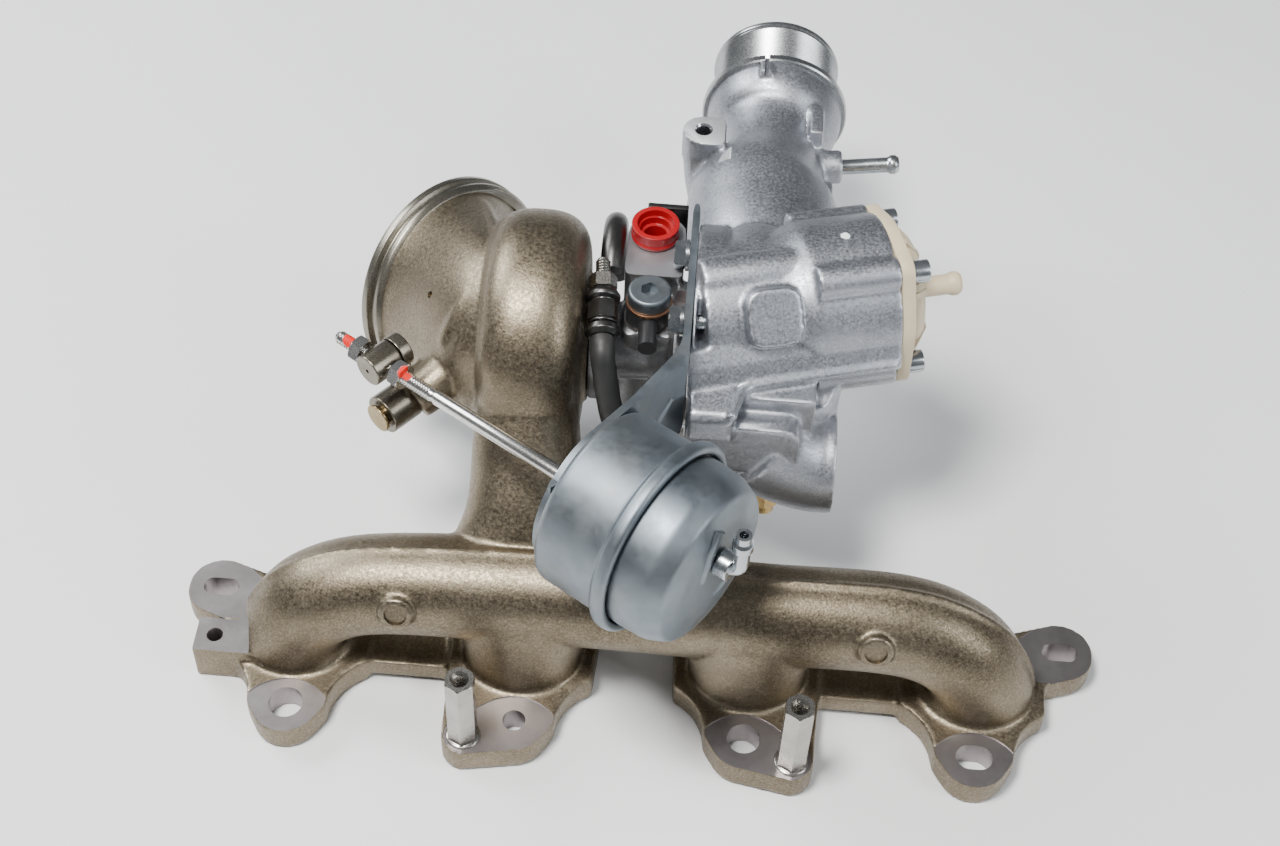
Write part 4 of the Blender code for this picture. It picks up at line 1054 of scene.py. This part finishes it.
def coolant_pieces():
    arch = pipe([(-21.5, 146, 126), (-21.5, 156, 130), (-21.5, 168, 129), (-21.5, 178, 121),
                 (-21.5, 182, 106), (-21, 181, 88)], 4.8, up=X, seg=40, per=12)
    fine("coolant_pipe", arch, DARK_STEEL, "dark_steel")
    top = Vector((-24.5, 141, 137))
    down = (Vector((-21.5, 104, 127)) - top).normalized()
    stud = lathe([(0, 2.2), (0.6, 2.6), *threads(0.8, 16, 3.0), (16.5, 2.7)], top, down, 40)
    fine("union_stud", stud, STEEL, "steel")
    nut = hex_head(top + down * 8, down, 6, 5.8)
    cut(nut, [rod(top, top + down * 20, 3.3)])
    fine("union_nut", nut, STEEL, "steel")
    collar = turned([(14.6, 5.2), (15.4, 6.2), (17.2, 7.2), (18.8, 7.0), (19.8, 5.2),
                     (28.6, 5.2), (28.9, 6.0), (29.9, 6.0), (30.2, 4.8), (30.9, 4.8),
                     (31.3, 7.0), (33.8, 7.2), (35.6, 5.6)], 0.4, top, down, 72)
    fuse([collar, hexagon(top + down * 20.5, down, 7.6, 6.2, 0.3)])
    fine("union_body", collar, DARK_STEEL, "dark_steel")
    end = top + down * 36
    hose = pipe([tuple(end), tuple(end + down * 4), (-20.5, 98, 122), (-16, 88, 104), (-10, 88, 84),
                 (-7, 96, 70), (-5, 108, 63)], 4.9, up=X, seg=40, per=14)
    fine("coolant_hose", hose, RUBBER, "rubber")


def boost_nipple():
    start, end = Vector((65, 238.9, 105.8)), Vector((99, 241.9, 108.8))
    axis = (end - start).normalized()
    body = turned([(0, 2.9), (8.4, 2.9), (8.5, 3.4), (9.6, 3.4), (29, 3.4), (30.5, 4.3),
                   (32.5, 4.3), (34, 3.3)], 0.5, start, axis)
    cut(body, [rod(start - axis, end + axis, 1.9)])
    fine("boost_nipple", body, BRIGHT_ZINC, "steel")


def brass_fitting():
    body = fuse([hex_head((*FITTING, 51.7), -Z, 9, 7.2), rod((*FITTING, 48), (*FITTING, 66), 4.0),
                 turned([(0, 4.5), (10, 4.5), (10, 3.8)], 0.5, Vector((*FITTING, 46)), -Z)])
    cut(body, [rod((*FITTING, 33), (*FITTING, 70), 2.1)])
    fine("brass_fitting", body, BRASS, "bronze")


# ---- wastegate linkage
def wastegate():
    lever = fuse([
        turned([(1.2, 7.6), (1.2, 8.4), (LEVER_S[1], 8.4), (LEVER_S[1], 7.6)], 0.6,
               SPINDLE_H, SPINDLE_IN, 96),
        turned([(0, 6.4), (0, 7.0), (5, 7.0), (5, 6.4)], 0.5, eye(LEVER_S[0]), SPINDLE_IN,
               96),
        soften(prism([(-5.2, 2), (5.2, 2), (PIN_U + 4.4, LEVER_UP), (PIN_U - 4.4, LEVER_UP)],
                     on_spindle(LEVER_S[1] - 0.01), ARM_U, Z, 4.98), 0.5),
    ])
    cut(lever, [rod(on_spindle(-1), on_spindle(LEVER_S[1] + 1), 4.3),
                rod(eye(LEVER_S[0] - 1), eye(LEVER_S[1] + 1), 4.5)])
    piece("lever_fine", "wastegate_lever", lever, LEVER_STEEL, "steel", "wastegate_arm")
    arm = [(-3.5, -5), (1.3, -5), (1.3, FLAP_Z + 4), (-3.5, FLAP_Z + 4)]
    pin = turned([(-1.5, 5.4), (-1.5, 6.2), (-0.3, 6.2), (-0.3, 4.0), (45, 4.0)], 0.4,
                 SPINDLE_H, SPINDLE_IN, 96)
    spindle = fuse([pin, soften(prism(arm, on_spindle(45.5), ARM_U, Z, 7), 0.5)])
    piece("spindle_fine", "wastegate_spindle", spindle, SPINDLE_STEEL, "steel", "wastegate_arm")
    flap = turned([(0, 7.4), (0, 8.3), (4, 8.3), (4, 7.4)], 0.6,
                  on_spindle(FLAP_S, 1.6, FLAP_Z), ARM_U)
    piece("flap_fine", "wastegate_flap", flap, STEEL, "steel", "wastegate_arm")
    bush = ring(rounded([(18, 4.3), (37, 4.3), (37, 5.9), (18, 5.9)], 0.3, 3, True), SPINDLE_H,
                SPINDLE_IN, 96)
    piece("bushing_fine", "spindle_bushing", bush, DARK_STEEL, "dark_steel")


def push_rod():
    shaft = [(-22.5, 2.0), (-22.0, 2.3), *threads(-21.6, 28, 2.8), (28.6, 2.4), (29.6, 3.0),
             (SEAM + 8, 3.0), (SEAM + 9, 2.4)]
    body = lathe(shaft, ROD_P, ROD_A, 40)
    piece("rod_fine", "actuator_rod", body, ROD_STEEL, "steel", "push_rod")
    for name, s in (("rod_nut_inner", 7.9), ("rod_nut_outer", -12.7)):
        nut = hex_head(on_rod(s), ROD_A, 5, 5.8)
        cut(nut, [rod(on_rod(s - 1), on_rod(s + 6), 2.95)])
        fine(name, nut, ROD_STEEL, "steel", "push_rod")
    face = LEVER_S[0] - 0.5
    barrel = fuse([
        turned([(-3.0, 5.4), (-3.0, 6.7), (face, 6.7), (face, 6.0)], 0.8, eye(0),
               SPINDLE_IN, 96),
        rod(eye(6), eye(LEVER_S[1] + 1.6), 3.1),
    ])
    cut(barrel, [rod(on_rod(-9), on_rod(9), 2.95), rod(eye(-3.5), eye(-2.2), 0.9, 24)])
    fine("rod_pivot", barrel, LEVER_STEEL, "steel", "push_rod")


# ---- actuator
def can_rear():
    thick = 1.6
    inner = CAN_R - thick
    rear = rounded([
        (CAN_REAR, 4.4), (CAN_REAR, 33.4), (CAN_REAR + 2.4, CAN_R), (SEAM - 2.4, CAN_R),
        (SEAM - 1.6, BEAD_R - 1.0), (SEAM - 0.2, BEAD_R), (SEAM + 3.2, BEAD_R),
        (SEAM + 4.6, BEAD_R - 1.4), (SEAM + 4.4, 36.2), (SEAM + 2.2, 35.6), (SEAM - 1.0, inner),
        (CAN_REAR + 3.5, inner), (CAN_REAR + thick, 32), (CAN_REAR + thick, 4.4),
    ], 1.5, 5, True)
    piece("can_rear", "actuator_rear_shell", ring(rear, ROD_P, ROD_A, 160), ZINC, "zinc_plate")


def can_front():
    """Crimped-on cup, with one rib raised on its end and one pressed into it."""
    end = SEAM + CUP_LENGTH
    front = lathe(rounded([
        (SEAM + 2.6, 33.2), (SEAM + 2.6, 35.0), (SEAM + 6.0, 35.2), (end - 3, CUP_R),
        (end + 4.5, 31.2), (end + 6.6, 22), (end + 7.6, 10),
    ], 1.8, 5), ROD_P, ROD_A, 160)
    low = on_rod(end + 7.4) - Z * 12 - ROD_SIDE * 5
    stiffener = sweep([
        (*(on_rod(end + 6.2) + Z * (15 + a) + ROD_SIDE * b), 2.8, 2.2)
        for a, b in ((-11, 9), (-4, 6.5), (3, 3), (8, -1))
    ], up=ROD_A, seg=20)
    front = fuse([front, stiffener])
    cut(front, [
        lathe([(SEAM, 33.4), (SEAM + 19, 33.0), (SEAM + 23.4, 29.6), (SEAM + 25.6, 20),
               (SEAM + 26.4, 9)], ROD_P, ROD_A, 120),
        rod(on_rod(end) + Z * NIPPLE_UP, on_rod(end + 11) + Z * NIPPLE_UP, 3.4),
        sweep([(*(low - ROD_SIDE * 7 + Z * 1), 1.2, 0.8), (*low, 2.6, 0.9),
               (*(low + ROD_SIDE * 6 - Z * 1.5), 1.2, 0.8)], up=ROD_A, seg=20),
    ])
    piece("can_front", "actuator_front_shell", front, ZINC, "zinc_plate")


def can_nipple():
    base = on_rod(SEAM + 24.5) + Z * NIPPLE_UP
    elbow = fuse([
        rod(base, base + ROD_A * 9, 3.1),
        turned([(3.9, 4.6), (3.9, 5.4), (9.5, 5.4), (9.5, 4.6)], 0.8, base, ROD_A),
        pipe([tuple(base + ROD_A * 7), tuple(base + ROD_A * 10.5 + Z * 1.5),
              tuple(base + ROD_A * 12.5 + Z * 6), tuple(base + ROD_A * 12.5 + Z * 22.6)],
             2.9, up=ROD_SIDE, seg=40),
    ])
    tip = base + ROD_A * 12.5
    fuse([elbow, turned([(13.6, 2.8), (14.6, 3.9), (18.0, 3.9), (19.4, 2.9)], 0.4, tip, Z)])
    cut(elbow, [rod(tip + Z * 12, tip + Z * 25, 1.7, 32)])
    piece("nipple_fine", "actuator_nipple", elbow, BRIGHT_ZINC, "zinc_plate")


def bracket():
    """Bent sheet from the compressor housing's face to the back of the actuator."""
    back = Vector((ROD_A.x, ROD_A.y, 0)).normalized()
    along = Vector((-back.y, back.x, 0))
    rear, thick, x_face = on_rod(CAN_REAR - 0.5), BRACKET_T, BRACKET_X
    knee = rear + along * ((x_face - rear.x) / along.x)
    tail = rear - along * 22
    outline = rounded([
        (tail.x, tail.y), (knee.x, knee.y), (x_face, 170), (x_face - thick, 170),
        (x_face - thick, knee.y - back.y * thick * 1.55 + 2.0),
        (tail.x - back.x * thick, tail.y - back.y * thick),
    ], 7, 6, True)
    sheet = prism(outline, (0, 0, 126.6), X, Y, 17.4)
    reach = (knee - rear).length
    gusset = prism(hull([(0, 0, 30), (reach - 10, 14.8, 9), (reach - 10, -14, 9)], 96),
                   rear - back * thick, along, Z, thick)
    body = soften(fuse([sheet, gusset]), 0.6)
    middle = rear + along * (reach - 22) - Z * 2
    rib = sweep([(*(middle + along * a + Z * b), w, 1.0)
                 for a, b, w in ((-12, -11, 1.5), (-4, -4, 2.8), (4, 3, 2.8), (12, 10, 1.5))],
                up=back, seg=24)
    fuse([body, rib])
    cut(body, [rod(on_rod(CAN_REAR - 8), on_rod(CAN_REAR + 4), 4.4),
               *[rod((8, y, z), (14, y, z), 3.4) for y, z in SCREWS[:2]]])
    piece("bracket_sheet", "actuator_bracket", body, ZINC, "zinc_plate")


def bracket_screws():
    start = BRACKET_X - BRACKET_T
    for k, (y, z) in enumerate(SCREWS[:2]):
        screw = fuse([hex_head((start - 6.2, y, z), X, 5, 5.9),
                      lathe([(start - 1.6, 6.5), (start - 0.3, 6.5)], Vector((0, y, z)), X),
                      rod((start - 3, y, z), (18.3, y, z), 3.0)])
        fine(f"bracket_screw_{k + 1}", screw, BRIGHT_ZINC, "zinc_plate")


# ---- rotor
def blade(x_from, x_to, inner, outer, angle, twist, thick, steps=12):
    """One blade of smoothly turned strips between two radius functions."""
    sections = []
    for i in range(steps + 1):
        f = i / steps
        x = x_from + (x_to - x_from) * f
        t = angle + twist * f * f
        out = Y * math.cos(t) + Z * math.sin(t)
        side = X.cross(out) * (thick * (1 - 0.3 * f) / 2)
        base, a, b = on_axis(x), inner(f), outer(f)
        sections.append([base + out * a - side, base + out * b - side * 0.6,
                         base + out * b + side * 0.6, base + out * a + side])
    return skin(sections)


def rotor():
    hub = rounded([(-62, 3.5), (-60.5, 5.5), (-50, 7), (-42, 10.5), (-37, 17), (-35, 22),
                   (-33.2, 22), (-33.1, 6), (-28, 6), (-27.9, 5.4), (-23, 5.4), (-22.9, SHAFT_R),
                   (18.3, SHAFT_R), (18.4, STUB_R), (46, STUB_R)], 0.8)
    body = fuse([lathe(hub, AXIS, X, 96), *[
        blade(-34.6, -60, lambda f: 5.0, lambda f: TURBINE_R - 2.2 * f * f,
              2 * math.pi * i / 11, -0.75, 1.3)
        for i in range(11)
    ]])
    piece("turbine_rotor", "turbine_wheel_shaft", body, DARK_STEEL, "dark_steel", "rotor")

    hub = rounded([(18.7, 9), (18.8, 23.5), (20.2, 23.5), (22, 17), (26, 11), (32, 7.2),
                   (38, 5.8)], 0.8)
    blades = []
    for i in range(12):
        end = 37 if i % 2 == 0 else 30

        def outer(f, end=end):
            x = 19.4 + (end - 19.4) * f
            return 17.2 + 6.8 * max(0.0, (31 - x) / 11.6) ** 2

        blades.append(blade(19.4, end, lambda f: 4.5, outer, 2 * math.pi * i / 12, 0.7, 0.9))
    wheel = fuse([lathe(hub, AXIS, X, 96), *blades])
    cut(wheel, [rod(on_axis(18), on_axis(39), STUB_R + 0.3)])
    piece("compressor_rotor", "compressor_wheel", wheel, MACHINED_ALUMINIUM, "cast_aluminium",
          "rotor")


# ---- everything else
KEPT = {
    "back_plate": MACHINED_ALUMINIUM, "compressor_nut": STEEL, "thrust_collar": STEEL,
    "thrust_bearing": BRONZE, "journal_bearing_turbine": BRONZE,
    "journal_bearing_compressor": BRONZE, "piston_ring": DARK_STEEL, "heat_shield": STEEL,
    "diverter_spring": STEEL, "actuator_spring": STEEL, "diaphragm": RUBBER,
    "diaphragm_cup": STEEL,
}


def kept_nodes():
    """Inner pieces whose solids are already right take a better material."""
    for name, material in KEPT.items():
        mesh = frame["nodes"][name].data
        mesh.materials.clear()
        mesh.materials.append(material)
        for polygon in mesh.polygons:
            polygon.material_index = 0


# ---- floor, light, camera
def stage():
    bpy.ops.mesh.primitive_grid_add(x_subdivisions=2, y_subdivisions=2, size=8.0,
                                    location=(0, 0, -0.0004))
    floor = bpy.context.object
    floor.name = "floor"
    s = Surface("floor", 0.0)
    tone = s.mix(s.ramp(s.noise(2.5, 3), 0.3, 0.7), (0.87, 0.875, 0.88), (0.91, 0.91, 0.915))
    floor.data.materials.append(s.finish(tone, s.ramp(s.noise(30, 4), 0.3, 0.7, 0.5, 0.62)))
    floor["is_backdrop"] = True

    world = bpy.context.scene.world or bpy.data.worlds.new("World")
    bpy.context.scene.world = world
    world.use_nodes = True
    world.node_tree.nodes["Background"].inputs["Color"].default_value = (0.93, 0.96, 1.0, 1.0)
    world.node_tree.nodes["Background"].inputs["Strength"].default_value = 0.2


def area_light(name, place, size, power, colour):
    """Rectangle of light aimed at the middle of the object."""
    data = bpy.data.lights.new(name, "AREA")
    data.shape, data.size, data.size_y = "RECTANGLE", size[0], size[1]
    data.energy, data.color = power, colour
    light = bpy.data.objects.new(name, data)
    bpy.context.scene.collection.objects.link(light)
    light.location = place
    aim = Vector((0, 0, 0.05)) - light.location
    light.rotation_euler = aim.to_track_quat("-Z", "Y").to_euler()


def camera():
    data = bpy.data.cameras.new("camera")
    data.lens, data.sensor_width, data.sensor_fit = 56.25, 36.0, "HORIZONTAL"
    data.clip_start = 0.01
    obj = bpy.data.objects.new("camera", data)
    bpy.context.scene.collection.objects.link(obj)
    right, up, back = (0.9968, 0.0742, 0.0312), (-0.0768, 0.7606, 0.6446), (0.0241, -0.6449, 0.7639)
    turn = Matrix((right, up, back)).transposed().to_4x4()
    obj.matrix_world = Matrix.Translation((0.0146, -0.57071, 0.7090)) @ turn
    bpy.context.scene.camera = obj


for build in (manifold, compressor, spacers, housing_screws, cover_screws, valve_cover, piston,
              centre_housing, oil_plug, banjo, clip_plate, coolant_pieces, boost_nipple,
              brass_fitting, wastegate, push_rod, can_rear, can_front, can_nipple, bracket,
              bracket_screws, rotor, kept_nodes, stage):
    build()
area_light("key", (-0.35, -0.35, 1.35), (0.35, 0.35), 30, (1.0, 0.985, 0.96))
area_light("window", (-1.2, 0.6, 1.1), (0.9, 0.6), 22, (0.95, 0.98, 1.0))
area_light("fill", (1.1, -0.5, 0.9), (0.5, 0.9), 10, (0.95, 0.98, 1.0))
camera()

sizes = {"cad": cad_box, "visual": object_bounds()}
{name: [list(corner) for corner in box] for name, box in sizes.items()}
